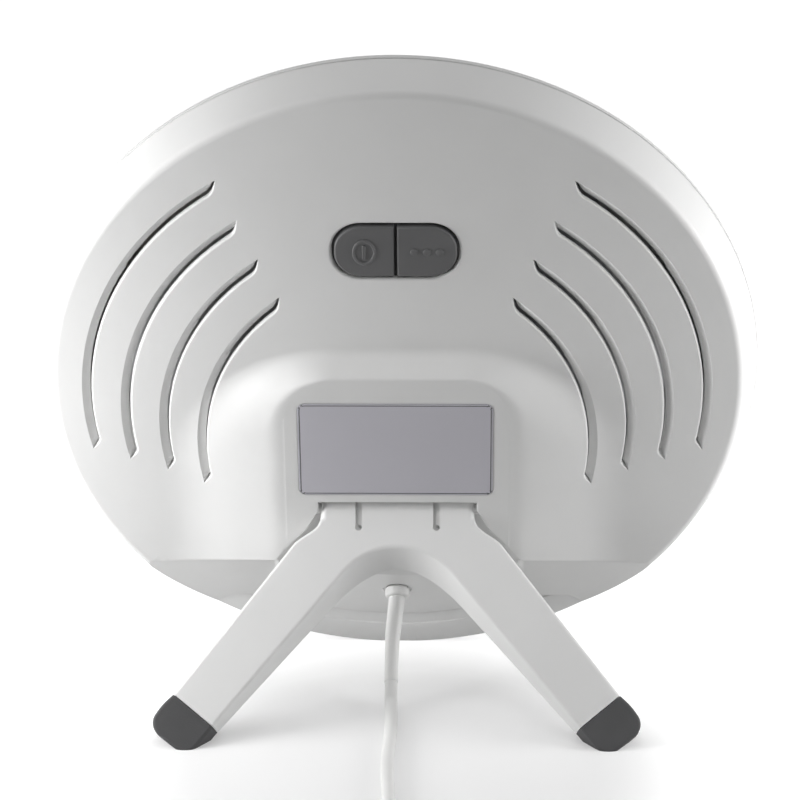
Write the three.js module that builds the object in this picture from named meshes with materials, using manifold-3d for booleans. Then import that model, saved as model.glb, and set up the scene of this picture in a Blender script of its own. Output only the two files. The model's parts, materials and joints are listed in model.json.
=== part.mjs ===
// Round light therapy lamp that leans back on a folding two-legged stand.
// Lengths are millimetres and angles are degrees. The lamp stands on z = 0 with its lit
// face towards +y and its rear cover, keys and stand towards -y.
// The head is modelled in its own frame: x across, y up the disc, z out of the back,
// with the centre of the lit face's rim at the origin.
import * as THREE from "three";
import { mergeVertices } from "three/addons/utils/BufferGeometryUtils.js";
import Module from "manifold-3d";

const wasm = await Module();
wasm.setup();
const { degToRad, lerp } = THREE.MathUtils;

// Gaps, overrun and roundness that every piece shares
const seatGap = 0.3;
const overrun = 5;
const weldTolerance = 0.0001;
const headSegments = 72;
const smallSegments = 20;
const tinySegments = 12;
const arcSteps = 6;
const flareSteps = 4;
const padEdgeSteps = 4;
const smallEdgeSteps = 2;

// Head and front frame
const rimRadius = 150;
const leanAngle = 15;
const rimSink = 0.4;
const frameEdgeDepth = 3;
const frameChamfer = 1.4;
const flangeDepth = 5.6;
const flangeStep = 0.5;
const flangeSetback = 8.2;
const flangeOuterWidth = 3.8;
const flangeInnerWidth = 7;

// Opal diffuser, inside the frame's front face
const frameFaceWidth = 11.1;
const diffuserThickness = 2;
const diffuserInset = 0.3;

// Rear cover: its back is a shallow dome, and the depths are those of its middle and its edge
const coverWall = 2.2;
const coverSetback = 0.2;
const backDepth = 22.5;
const backEdgeDepth = 19.2;
const sideRun = 7;
const shoulderRadius = 4;
const shoulderSteps = 4;
const domeRingShares = [0.78, 0.44];
const creaseRise = 60;
const creaseDepth = 20.6;
const facetRise = 28.2;
const undersideSetback = 18;
const undersideRun = 43.1;
const undersideTopDepth = 32;

// Raised pad on the cover, for the rating plate and the hinge
const padDepth = 33;
const padHalfWidth = 46.5;
const padTop = 13.5;
const padBevel = 6;
const padCornerRadius = 20;

// Hinge and stand
const hingeDrop = 55.6;
const hingeDepth = 29;
const knuckleRadius = 4;
const hubHalfWidth = 32.4;
const legBack = 5;
const lipClearance = 2.2;
const recessClearance = 0.8;
const swingRoom = 2;
const cheekWall = 5;
const trunnionRadius = 2.2;
const trunnionLength = 3;
const trunnionClearance = 0.3;
const splayAngle = 39.5;
const legStart = 36;
const legWidthTop = 23.6;
const legWidthEnd = 21.3;
const archTop = 16.8;
const archBackTop = 25.6;
const archBackStart = 52;
const archBackInset = 5.4;
const legBackInset = 2.5;
const slitOffset = 16.3;
const slitWidth = 1.4;
const slitEnd = 8.6;
const bossClearance = 1.2;
const bossInset = 1;

const legSlope = 57.12;
const hubSteps = 3;

// Rubber feet
const capLength = 17;
const capCornerRadius = 6;
const capWall = 1.8;
const tenonEndGap = 3.5;
const soleSink = 0.5;
const soleWall = 2.5;

// Vents, cut on both sides of the cover; the second one from the rim is blind. The tips and arcs
// are shares of the back's radius.
const ventCount = 4;
const blindVent = 1;
const ventWidth = 3.4;
const blindVentDepth = 1.2;
const ventOuterTopShares = [0.506, 0.714];
const ventInnerTopShares = [0.338, 0.329];
const ventOuterFootShares = [0.879, -0.21];
const ventInnerFootShares = [0.566, -0.316];
const ventOuterArcShare = 0.94;
const ventInnerArcShare = 0.6625;
const ventTopCut = 6;
const ventFootCut = 2.5;
const ventSteps = 14;
const webWidth = 1.2;
const webLength = 10.2;
const webShares = [0.2, 0, 0.22, 0.24];

// Keys in their recess
const keypadSetback = 79.8;
const keypadHalfWidth = 25.4;
const keypadHalfHeight = 12.8;
const keypadCornerRadius = 11.5;
const keyGap = 0.9;
const keySplit = 1.2;
const keyProud = 0.7;
const keyFlange = 0.9;
const keyFlangeReach = 1.2;
const keyEdge = 0.5;
const keyStemRadius = 1.5;
const keyStemLength = 1.4;
const signRadius = 4.6;
const signLine = 1;
const signHeight = 0.35;
const colourDotRadius = 1.7;
const colourDotSpread = 5.2;

// Rating plate
const plateWidth = 79.6;
const plateHeight = 46.4;
const plateTop = 1.8;
const plateThickness = 0.5;
const plateRecess = 0.6;
const plateCornerRadius = 2.2;

// Light engine
const boardSetback = 39;
const boardBelowCrease = 4;
const ledBoardDepth = 10.1;
const ledBoardThickness = 1.6;
const heatPlateThickness = 1.5;
const ledSize = 3.6;
const ledHeight = 1;
const ledRingShares = [0.235, 0.47, 0.72];
const ledRingCounts = [6, 12, 16];
const colourRingShare = 0.595;
const colourLedCount = 6;
const colourLedSize = 5;
const reflectorFootGap = 2;
const reflectorMouthGap = 1.4;
const reflectorWall = 0.9;
const reflectorMouthDepth = 3.4;

// Screws and the pegs that they hold to
const screwHeadRadius = 2.8;
const screwHeadHeight = 1.8;
const screwShankRadius = 1.4;
const screwLength = 8;
const screwHoleClearance = 0.3;
const pegRadius = 3.4;
const heatPegInset = 8.5;
const heatPegTopTurn = 17;
const heatPegFootTurn = 45.8;

// Driver board and what sits on it; their places are measured from the middle of its lower edge
const driverHalfWidth = 38;
const driverLength = 45;
const driverAboveHinge = 17.6;
const driverDepth = 18.6;
const driverThickness = 1.6;
const driverPegInset = 4.5;
const transformerSize = [20, 17, 8];
const transformerPlace = [2, 28];
const coreLengthShare = 0.5;
const windingWidthShare = 0.7;
const windingHeightShare = 0.8;
const filmCapSize = [14, 6, 8];
const filmCapPlace = [-18, 30];
const terminalSize = [13, 8, 8];
const terminalPlace = [-18, 8];
const terminalBore = 2.2;
const capRadius = 4.2;
const capLengthLying = 14;
const capPlace = [22, 16];

// Key board and its two switches
const keyBoardHalfWidth = 21;
const keyBoardHalfHeight = 8;
const keyBoardThickness = 1.2;
const switchSize = 6;
const switchHeight = 1.5;
const switchWellRadius = 1.9;

// Cord, its gland and its inner leads
const cordDiameter = 5.4;
const cordSides = 8;
const glandX = -0.6;
const glandRise = 27.8;
const glandRadius = 4.9;
const glandNeckRadius = 4.2;
const glandFlangeRadius = 6.2;
const glandCollar = 4;
const glandInside = 6;
const glandBoreEnd = 1;
const glandFlangeThickness = 1.2;
const reliefLength = 16;
const reliefRootRadius = 3.5;
const reliefTipRadius = 3.1;
const reliefTilt = 5;
const innerLeadRadius = 1.6;
const leadBendShare = 0.25;
const thinLeadRadius = 0.9;
const ledLeadX = 12;
const ledLeadY = 22;
const ribbonHalfWidth = 3.6;
const ribbonThickness = 0.9;
const leadSides = 8;
const leadSteps = 24;

// The free cord's route on the table, from the relief's tip to the coil
const cordSteps = 30;
const cordRoute = [
  [-2.4, 8.2, 23.96],
  [-2.6, 5.4, 21],
  [-2.8, 1.2, 16.6],
  [-2.9, -2.9, 12.3],
  [-2.9, -6.7, 9],
  [-2.9, -10.8, 6.3],
  [-2.9, -15.2, 4.3],
  [-2.8, -19.9, 3.2],
  [-2.7, -24.9, 2.8],
  [-2.6, -31, 2.72],
  [-2.6, -38, 2.7],
  [-2.8, -49, 2.7],
  [-3.2, -61, 2.7],
  [-3.5, -73, 2.7],
  [-3.2, -86, 2.7],
  [-2.6, -98, 2.7],
  [-2.2, -111, 2.7],
  [-2.1, -124, 2.7],
  [-2.4, -138, 2.7],
  [-2.6, -152, 2.7],
  [-2.6, -165, 2.7],
  [-2.6, -178, 2.7],
].map(([x, y, z]) => new THREE.Vector3(x, y, z));

// Coil of the spare cord, piled in two layers
const coilTurnsPerLayer = 3.625;
const coilMeanRadius = 32.4;
const coilPitch = 5.9;
const coilLoopSteps = 24;
const coilSides = 6;

// Plug
const plugLength = 34;
const plugWidth = 31;
const plugTailWidth = 15;
const plugHeight = 13.6;
const plugEdge = 1;
const plugShoulderShare = 0.25;
const plugTailLength = 16;
const plugTailRadius = 4.2;
const pinRadius = 2;
const pinLength = 19;
const pinSpacing = 18.6;
const pinSeat = 4;
const tailRun = 36;
const tailSteps = 8;
const tailDropShares = [0.1, 0.3, 0.5, 0.7, 0.9];

// Worked out from the sizes above
const lean = degToRad(leanAngle);
const splay = degToRad(splayAngle);
const cordRadius = cordDiameter / 2;
const flangeOuterRadius = rimRadius - flangeSetback;
const flangeStepRadius = flangeOuterRadius - flangeOuterWidth;
const flangeInnerRadius = flangeStepRadius - flangeInnerWidth;
const diffuserRadius = rimRadius - frameFaceWidth;
const coverBaseRadius = rimRadius - coverSetback;
const backRadius = coverBaseRadius - sideRun;
const creaseDrop = rimRadius - creaseRise;
const facetFootDrop = rimRadius - facetRise;
const undersideFootRadius = rimRadius - undersideSetback;
const glandDrop = undersideFootRadius - glandRise;
const keypadHeight = rimRadius - keypadSetback;
const driverFoot = driverAboveHinge - hingeDrop;
const driverTop = driverFoot + driverLength;
const boardRadius = rimRadius - boardSetback;
const boardFlatDrop = creaseDrop + boardBelowCrease;
const reflectorFootRadius = boardRadius + reflectorFootGap;
const reflectorMouthRadius = flangeInnerRadius - reflectorMouthGap;
const headCentreHeight = rimRadius * Math.cos(lean) + frameEdgeDepth * Math.sin(lean) - rimSink;
const hingeHeight = headCentreHeight - hingeDrop * Math.cos(lean) - hingeDepth * Math.sin(lean);
const standFront = padDepth - hingeDepth;
const standSlope = degToRad(legSlope);
const standReach = (hingeHeight + soleSink + standFront * Math.cos(standSlope)) / Math.sin(standSlope);
const legEnd =
  capCornerRadius + (standReach - capCornerRadius + capCornerRadius * Math.sin(splay)) / Math.cos(splay);
const openAngle = Math.PI / 2 + lean - standSlope;
const undersideSlope = (undersideTopDepth - flangeDepth) / undersideRun;
const heatPlateDepth = ledBoardDepth + ledBoardThickness + seatGap;
const heatPlateBack = heatPlateDepth + heatPlateThickness;
const driverBack = driverDepth + driverThickness;
const throughCut = 2 * overrun;
const headSize = 2 * rimRadius;
const recessDepth = hingeDepth - legBack - seatGap;
const capStart = legEnd - capLength;

// Solids, joins and cuts
function solidOf(geometry) {
  const bare = geometry.index ? geometry.toNonIndexed() : geometry.clone();
  bare.deleteAttribute("normal");
  bare.deleteAttribute("uv");
  const merged = mergeVertices(bare, weldTolerance);
  const made = new wasm.Manifold(
    new wasm.Mesh({
      numProp: 3,
      vertProperties: new Float32Array(merged.attributes.position.array),
      triVerts: new Uint32Array(merged.index.array),
    }),
  );
  return made;
}

function geometryOf(solid) {
  const mesh = solid.getMesh();
  const geometry = new THREE.BufferGeometry();
  const positions = new Float32Array(mesh.vertProperties);
  geometry.setAttribute("position", new THREE.BufferAttribute(positions, 3));
  geometry.setIndex(new THREE.BufferAttribute(new Uint32Array(mesh.triVerts), 1));
  geometry.computeVertexNormals();
  return geometry;
}

const joined = (...solids) => solids.reduce((whole, solid) => whole.add(solid));
const cut = (solid, ...tools) => tools.reduce((whole, tool) => whole.subtract(tool), solid);

function box(width, length, height, x = 0, y = 0, z = 0) {
  return solidOf(new THREE.BoxGeometry(width, length, height).translate(x, y, z + height / 2));
}

// A round bar along z that starts at the given point.
function rod(radius, length, x = 0, y = 0, z = 0, segments = smallSegments, endRadius = radius) {
  const geometry = new THREE.CylinderGeometry(endRadius, radius, length, segments);
  return solidOf(geometry.rotateX(Math.PI / 2).translate(x, y, z + length / 2));
}

// A round bar along x, centred on the given point.
function crossRod(radius, length, x, y, z, segments = smallSegments) {
  const geometry = new THREE.CylinderGeometry(radius, radius, length, segments);
  return solidOf(geometry.rotateZ(Math.PI / 2).translate(x, y, z));
}

// A solid of revolution about z from a closed profile of [radius, height] pairs in either order.
function turned(profile, segments = headSegments) {
  const area = profile.reduce((sum, [r, z], i) => {
    const [nextR, nextZ] = profile[(i + 1) % profile.length];
    return sum + r * nextZ - nextR * z;
  }, 0);
  const ordered = area > 0 ? profile : [...profile].reverse();
  const points = [...ordered, ordered[0]].map(([r, z]) => new THREE.Vector2(r, z));
  return solidOf(new THREE.LatheGeometry(points, segments).rotateX(Math.PI / 2));
}

// A flat outline given a thickness, from height z up.
function slab(shape, thickness, z = 0, curveSegments = arcSteps) {
  const settings = { depth: thickness, bevelEnabled: false, curveSegments };
  const geometry = new THREE.ExtrudeGeometry(shape, settings);
  return solidOf(geometry.translate(0, 0, z));
}

// The same with a rounded edge all round, the outline giving the flat top.
function roundedSlab(shape, thickness, z, edge, bevelSegments) {
  const geometry = new THREE.ExtrudeGeometry(shape, {
    depth: thickness - 2 * edge,
    bevelThickness: edge,
    bevelSize: edge,
    bevelSegments,
    curveSegments: arcSteps,
  });
  return solidOf(geometry.translate(0, 0, z + edge));
}

function roundedRectangle(left, right, low, high, radius) {
  const shape = new THREE.Shape();
  shape.moveTo(left + radius, low);
  shape.lineTo(right - radius, low);
  shape.absarc(right - radius, low + radius, radius, -Math.PI / 2, 0, false);
  shape.lineTo(right, high - radius);
  shape.absarc(right - radius, high - radius, radius, 0, Math.PI / 2, false);
  shape.lineTo(left + radius, high);
  shape.absarc(left + radius, high - radius, radius, Math.PI / 2, Math.PI, false);
  shape.lineTo(left, low + radius);
  shape.absarc(left + radius, low + radius, radius, Math.PI, 1.5 * Math.PI, false);
  return shape;
}

const polygon = (points) => new THREE.Shape(points.map(([x, y]) => new THREE.Vector2(x, y)));

// A closed skin over rings of equally many points, with a fan over each end ring.
function lofted(rings) {
  const count = rings[0].length;
  const positions = rings.flat().flatMap((point) => [point.x, point.y, point.z]);
  const index = [];
  for (let i = 0; i + 1 < rings.length; i += 1) {
    for (let k = 0; k < count; k += 1) {
      const a = i * count + k;
      const b = i * count + ((k + 1) % count);
      index.push(a, b, b + count, a, b + count, a + count);
    }
  }
  const last = (rings.length - 1) * count;
  for (let k = 1; k + 1 < count; k += 1) {
    index.push(0, k + 1, k, last, last + k, last + k + 1);
  }
  const geometry = new THREE.BufferGeometry();
  geometry.setAttribute("position", new THREE.Float32BufferAttribute(positions, 3));
  geometry.setIndex(index);
  const made = solidOf(geometry);
  if (made.volume() > 0) {
    return made;
  }
  geometry.setIndex(index.map((_, i) => index[i - (i % 3) + (2 - (i % 3))]));
  return solidOf(geometry);
}

// A round lead along a smooth curve through the points.
function lead(points, radius, steps, sides) {
  const section = new THREE.Shape();
  section.absarc(0, 0, radius, 0, 2 * Math.PI, false);
  const extrudePath = new THREE.CatmullRomCurve3(points, false, "centripetal");
  const settings = { steps, curveSegments: sides, bevelEnabled: false, extrudePath };
  return solidOf(new THREE.ExtrudeGeometry(section, settings));
}

// Everything on the far side of a plane through the point, tilted about x by the angle.
function farSide(y, z, angle) {
  const block = new THREE.BoxGeometry(2 * headSize, 2 * headSize, headSize).translate(0, 0, headSize / 2);
  return solidOf(block.rotateX(angle).translate(0, y, z));
}

// Everything below the table, seen from a frame turned about x by the angle, its origin at the height.
function belowTable(height, angle) {
  const block = new THREE.BoxGeometry(2 * headSize, headSize, 2 * headSize).translate(0, -headSize / 2, 0);
  return solidOf(block.translate(0, -height, 0).rotateX(angle));
}

// Materials
const satinShare = 0.42;
const mattShare = 0.55;
const metalShare = 0.9;

function finish(color, roughness, metalness = 0) {
  return new THREE.MeshStandardMaterial({ color, roughness, metalness });
}

const whiteShell = finish(0xf2f2f1, satinShare);
const opal = finish(0xf7f6f0, mattShare);
const greyKey = finish(0x7a7a7c, mattShare);
const rubber = finish(0x5c5d5f, mattShare);
const labelFoil = finish(0xe3e2ea, satinShare);
const boardGreen = finish(0x2f6b45, mattShare);
const boardWhite = finish(0xf4f4f0, satinShare);
const darkPart = finish(0x2b2c30, mattShare);
const yellowPart = finish(0xd8b53a, mattShare);
const cordWhite = finish(0xeeeeec, mattShare);
const aluminium = finish(0xc6c9cc, satinShare, metalShare);
const steel = finish(0xb4b7ba, satinShare, metalShare);

function named(name, solid, material) {
  const mesh = new THREE.Mesh(geometryOf(solid), material.clone());
  mesh.name = name;
  return mesh;
}

// Front frame: rim, seat for the diffuser and the stepped flange under the cover
function frontFrame() {
  const ring = turned([
    [diffuserRadius + seatGap, 0],
    [rimRadius - frameChamfer, 0],
    [rimRadius, frameChamfer],
    [rimRadius, frameEdgeDepth],
    [flangeOuterRadius, flangeDepth],
    [flangeStepRadius, flangeDepth],
    [flangeStepRadius - flangeStep, flangeDepth - flangeStep],
    [flangeInnerRadius, flangeDepth - flangeStep],
    [flangeInnerRadius, diffuserInset + diffuserThickness + seatGap],
    [diffuserRadius + seatGap, diffuserInset + diffuserThickness + seatGap],
  ]);
  return ring.subtract(belowTable(headCentreHeight, -lean));
}

const diffuser = () =>
  turned([
    [0, diffuserInset],
    [diffuserRadius, diffuserInset],
    [diffuserRadius, diffuserInset + diffuserThickness],
    [0, diffuserInset + diffuserThickness],
  ]);

// Depth of the domed back at a distance from the middle
function backAt(distance) {
  return backDepth - (backDepth - backEdgeDepth) * (distance / backRadius) ** 2;
}

// Rear cover: a dish whose profile keeps the given distance inside the outer face
function dish(inset) {
  const sideSlope = Math.atan2(backEdgeDepth - frameEdgeDepth, sideRun);
  const domeSlope = Math.atan2(2 * (backDepth - backEdgeDepth), backRadius);
  const sideShift = inset / Math.sin(sideSlope);
  const sideAt = (z) => coverBaseRadius - sideShift - (z - frameEdgeDepth) / Math.tan(sideSlope);
  const edge = backEdgeDepth - inset;
  const radius = shoulderRadius - inset;
  const reach = radius * Math.tan((sideSlope - domeSlope) / 2);
  const start = sideAt(edge) - reach * Math.cos(domeSlope);
  const centreR = start - radius * Math.sin(domeSlope);
  const centreZ = edge + reach * Math.sin(domeSlope) - radius * Math.cos(domeSlope);
  const arc = Array.from({ length: shoulderSteps + 1 }, (_, i) => {
    const turn = Math.PI / 2 - lerp(sideSlope, domeSlope, i / shoulderSteps);
    return [centreR + radius * Math.cos(turn), centreZ + radius * Math.sin(turn)];
  });
  const dome = domeRingShares.map((share) => [share * start, backAt(share * start) - inset]);
  return turned([[0, 0], [sideAt(0), 0], ...arc, ...dome, [0, backDepth - inset]]);
}

// The slanted flat under the head, and the round underside of the pad between the legs
function belowFacet(inset) {
  const slope = Math.atan2(creaseDepth - flangeDepth, facetFootDrop - creaseDrop);
  return farSide(-creaseDrop + inset / Math.sin(slope), creaseDepth, slope);
}

function undersideCone(inset) {
  const shift = inset / Math.sin(Math.atan(undersideSlope));
  const radiusAt = (z) => undersideFootRadius - shift - (z - flangeDepth) / undersideSlope;
  const top = padDepth + overrun;
  return turned([[0, 0], [radiusAt(0), 0], [radiusAt(top), top], [0, top]]);
}

function pad(inset) {
  const side = padHalfWidth - inset;
  const shape = roundedRectangle(-side, side, -rimRadius, padTop - inset, padCornerRadius - inset);
  return roundedSlab(shape, padDepth - inset + overrun, -overrun, padBevel, padEdgeSteps);
}

const coverBody = (inset) =>
  joined(cut(dish(inset), belowFacet(inset)), pad(inset).intersect(undersideCone(inset)));

// Places on the leg: along it, and across it from the line through the hinge's middle
function legPoint(along, across, side, z) {
  const x = along * Math.sin(splay) + across * Math.cos(splay);
  const y = across * Math.sin(splay) - along * Math.cos(splay);
  return new THREE.Vector3(side * x, y, z);
}

const legWidthAt = (along) => lerp(legWidthTop, legWidthEnd, (along - legStart) / (capStart - legStart));
const backInsetAt = (along) =>
  lerp(archBackInset, legBackInset, (along - archBackStart) / (capStart - archBackStart));

// Outline of the folded stand with a border all round, for the recess in the pad
function standOutline(border) {
  const across = legWidthTop + border;
  const corner = hubHalfWidth + border;
  const flareDrop = 2 * knuckleRadius;
  const flareX = (flareDrop * Math.sin(splay) + across) / Math.cos(splay);
  const foot = legPoint(legEnd, across, 1, 0);
  const top = knuckleRadius + lipClearance - recessClearance + border;
  const half = [
    [corner, top],
    [corner, swingRoom],
    [flareX, -flareDrop],
    [foot.x, foot.y],
  ];
  const mirrored = half.map(([x, y]) => [-x, y]);
  return polygon([...mirrored, ...half.reverse()].map(([x, y]) => [x, y - hingeDrop]));
}

// A half arch from the middle down to where its side meets the leg's line
function archCurve(top, along, acrossAt) {
  const end = legPoint(along, acrossAt(along), 1, 0);
  const before = legPoint(along - overrun, acrossAt(along - overrun), 1, 0);
  const steps = (-top - end.y) / (before.y - end.y);
  const bend = new THREE.Vector2(end.x + (before.x - end.x) * steps, -top);
  return new THREE.QuadraticBezierCurve(new THREE.Vector2(0, -top), bend, new THREE.Vector2(end.x, end.y));
}

const frontArch = archCurve(archTop, legStart, () => 0);
const backArch = archCurve(archBackTop, archBackStart, (along) => -backInsetAt(along));

// Outline of the low arched boss that the folded stand closes round, drawn in by the border
function bossShape(border) {
  const arch = backArch.getPoints(arcSteps);
  const half = arch.map((p) => [Math.max(p.x - border, 0), p.y - hingeDrop - border]);
  const foot = [half.at(-1)[0] + overrun, half.at(-1)[1] - overrun];
  const right = [...half, foot];
  const left = right.slice(1).map(([x, y]) => [-x, y]);
  return polygon([...right, ...left.reverse()]);
}

function archBoss() {
  const height = undersideTopDepth - recessDepth + overrun;
  const shape = bossShape(bossClearance + bossInset);
  return roundedSlab(shape, height, recessDepth - overrun, bossInset, smallEdgeSteps);
}

function bossPocket() {
  const pocket = slab(bossShape(bossClearance + coverWall), undersideTopDepth - coverWall);
  return pocket.intersect(undersideCone(coverWall));
}

// Pegs inside the cover: the first set holds the heat plate, the second the driver board
function screwPegs() {
  return [
    ...heatScrewPlaces().map((place) => {
      return screwPeg(place, heatPlateBack, backAt(Math.hypot(...place)), ledBoardDepth);
    }),
    ...driverScrewPlaces().map((place) => screwPeg(place, driverBack, padDepth, driverDepth)),
  ];
}

function screwPeg([x, y], from, outside, screwFace) {
  const start = from + seatGap;
  const peg = rod(pegRadius, outside - coverWall / 2 - start, x, y, start, tinySegments);
  const tip = shankStart(screwFace) + screwLength + 2 * seatGap;
  const bore = rod(screwShankRadius + screwHoleClearance, tip - from, x, y, from, tinySegments);
  return { peg, bore };
}

const shankStart = (faceDepth) => faceDepth - seatGap - screwHeadHeight / 2;

function heatScrewPlaces() {
  const radius = boardRadius - heatPegInset;
  const turns = [degToRad(heatPegTopTurn), Math.PI - degToRad(heatPegFootTurn)];
  return turns.flatMap((turn) =>
    [-1, 1].map((side) => [side * radius * Math.sin(turn), radius * Math.cos(turn)]),
  );
}

function driverScrewPlaces() {
  const x = driverHalfWidth - driverPegInset;
  return [driverTop - driverPegInset, driverFoot + driverPegInset].flatMap((y) => [[-x, y], [x, y]]);
}

// One vent: an arc through its two tips, with its inner edge cut back at both ends
function vent(number, side) {
  const share = number / (ventCount - 1);
  const between = (outer, inner) => backRadius * lerp(outer, inner, share);
  const [topX, topY] = ventOuterTopShares.map((value, i) => between(value, ventInnerTopShares[i]));
  const [footX, footY] = ventOuterFootShares.map((value, i) => between(value, ventInnerFootShares[i]));
  const radius = between(ventOuterArcShare, ventInnerArcShare);
  const halfChord = Math.hypot(footX - topX, footY - topY) / 2;
  const chordAngle = Math.atan2(footY - topY, footX - topX);
  const back = Math.sqrt(radius ** 2 - halfChord ** 2);
  const centreX = (topX + footX) / 2 + back * Math.sin(chordAngle);
  const centreY = (topY + footY) / 2 - back * Math.cos(chordAngle);
  const spread = Math.asin(halfChord / radius);
  const middle = chordAngle + Math.PI / 2;
  const at = (turn, distance) => [
    side * (centreX + distance * Math.cos(turn)),
    centreY + distance * Math.sin(turn),
  ];
  const outer = Array.from({ length: ventSteps + 1 }, (_, i) =>
    at(middle + spread - (2 * spread * i) / ventSteps, radius),
  );
  const innerRadius = radius - ventWidth;
  const from = middle - spread + ventFootCut / innerRadius;
  const to = middle + spread - ventTopCut / innerRadius;
  const inner = Array.from({ length: ventSteps + 1 }, (_, i) =>
    at(from + ((to - from) * i) / ventSteps, innerRadius),
  );
  const outline = polygon(side > 0 ? [...outer, ...inner].reverse() : [...outer, ...inner]);
  const surface = backAt(Math.hypot(...at(middle, radius)));
  if (number === blindVent) {
    return slab(outline, blindVentDepth + overrun, surface - blindVentDepth);
  }
  const through = slab(outline, coverWall + throughCut, surface - coverWall - overrun);
  const webTurn = middle + spread - 2 * spread * webShares[number];
  const [webX, webY] = at(webTurn, radius - ventWidth / 2);
  const web = new THREE.BoxGeometry(webLength, webWidth, coverWall);
  const webZ = backAt(Math.hypot(webX, webY)) - coverWall / 2;
  web.rotateZ(side > 0 ? webTurn : Math.PI - webTurn).translate(webX, webY, webZ);
  return through.subtract(solidOf(web));
}

// Keypad outline grown by a border, and the outline of one key
function keypadShape(border) {
  const halfWidth = keypadHalfWidth + border;
  const halfHeight = keypadHalfHeight + border;
  const radius = keypadCornerRadius + border;
  const [low, high] = [keypadHeight - halfHeight, keypadHeight + halfHeight];
  return roundedRectangle(-halfWidth, halfWidth, low, high, radius);
}

// Direction in which the cord leaves the cover, square to its underside
const glandTilt = Math.atan(undersideSlope);
const glandDepth = flangeDepth + (undersideFootRadius - glandDrop) * undersideSlope;

// Turns a piece made along z into the gland's direction and moves it to the gland.
function atGland(geometrySolid) {
  const tilted = geometrySolid.rotate([THREE.MathUtils.radToDeg(glandTilt), 0, 0]);
  return tilted.translate([glandX, -glandDrop, glandDepth]);
}

function rearCover() {
  const outer = coverBody(0);
  const hollow = coverBody(coverWall);
  const seamSlope = (flangeDepth - frameEdgeDepth) / flangeSetback;
  const frameRoom = turned([
    [0, -overrun],
    [rimRadius + overrun, -overrun],
    [rimRadius + overrun, frameEdgeDepth + seatGap - overrun * seamSlope],
    [flangeOuterRadius, flangeDepth + seatGap],
    [0, flangeDepth + seatGap],
  ]);
  const recessBlock = slab(standOutline(cheekWall), headSize, recessDepth - coverWall);
  const recessWalls = outer.intersect(recessBlock.subtract(farSide(-undersideFootRadius, 0, Math.PI / 2)));
  const recess = slab(standOutline(recessClearance), headSize, recessDepth).subtract(archBoss());
  const pegs = screwPegs();
  const glandHole = atGland(rod(glandNeckRadius + seatGap, glandInside + overrun, 0, 0, -glandInside));
  const boreRadius = trunnionRadius + trunnionClearance;
  const boreLength = trunnionLength + seatGap + hubHalfWidth;
  const trunnionBores = [-1, 1].map((side) =>
    crossRod(boreRadius, boreLength, (side * boreLength) / 2, -hingeDrop, hingeDepth),
  );
  const plateSeat = slab(plateShape(seatGap), plateRecess + overrun, padDepth - plateRecess);
  const vents = [-1, 1].flatMap((side) => Array.from({ length: ventCount }, (_, i) => vent(i, side)));
  const shell = joined(outer.subtract(hollow), recessWalls, ...pegs.map(({ peg }) => peg));
  return cut(
    shell,
    recess,
    frameRoom,
    glandHole,
    ...trunnionBores,
    plateSeat,
    bossPocket(),
    slab(keypadShape(keyGap), headSize, keyInside - seatGap),
    ...pegs.map(({ bore }) => bore),
    ...vents,
  );
}

function plateShape(border) {
  const half = plateWidth / 2 + border;
  const foot = plateTop - plateHeight - border;
  return roundedRectangle(-half, half, foot, plateTop + border, plateCornerRadius + border);
}

const ratingPlate = () => slab(plateShape(0), plateThickness, padDepth - plateRecess + seatGap);

// Keys, each with a flange behind the cover, a stem and a raised sign
const keyCentre = keypadHalfWidth / 2;
const keyTop = backAt(keypadHeight) + keyProud;
const keyInside = backAt(Math.hypot(keypadHalfWidth, keypadHeight + keypadHalfHeight)) - coverWall;

function keyBody(side) {
  const half = keySplit / 2;
  const keep = box(headSize, headSize, headSize, side * (headSize / 2 + half), keypadHeight);
  const under = keyInside - seatGap - keyFlange;
  const body = roundedSlab(keypadShape(-keyEdge), keyTop - under, under, keyEdge, smallEdgeSteps);
  const flange = slab(keypadShape(keyGap + keyFlangeReach), keyFlange, under);
  const stemEnd = under - keyStemLength;
  const stem = rod(keyStemRadius, keyStemLength + keyFlange, side * keyCentre, keypadHeight, stemEnd);
  return joined(body, flange).intersect(keep).add(stem);
}

function powerKey() {
  const foot = keyTop - signHeight;
  const top = keyTop + signHeight;
  const ring = turned(
    [
      [signRadius - signLine, foot],
      [signRadius, foot],
      [signRadius, top],
      [signRadius - signLine, top],
    ],
    smallSegments,
  );
  const bar = box(signLine, signRadius, top - foot, -keyCentre, keypadHeight, foot);
  return joined(keyBody(-1), ring.translate([-keyCentre, keypadHeight, 0]), bar);
}

function colourKey() {
  const foot = keyTop - signHeight;
  const dots = [-1, 0, 1].map((place) => {
    const x = keyCentre + place * colourDotSpread;
    return rod(colourDotRadius, 2 * signHeight, x, keypadHeight, foot, tinySegments);
  });
  return joined(keyBody(1), ...dots);
}

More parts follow.
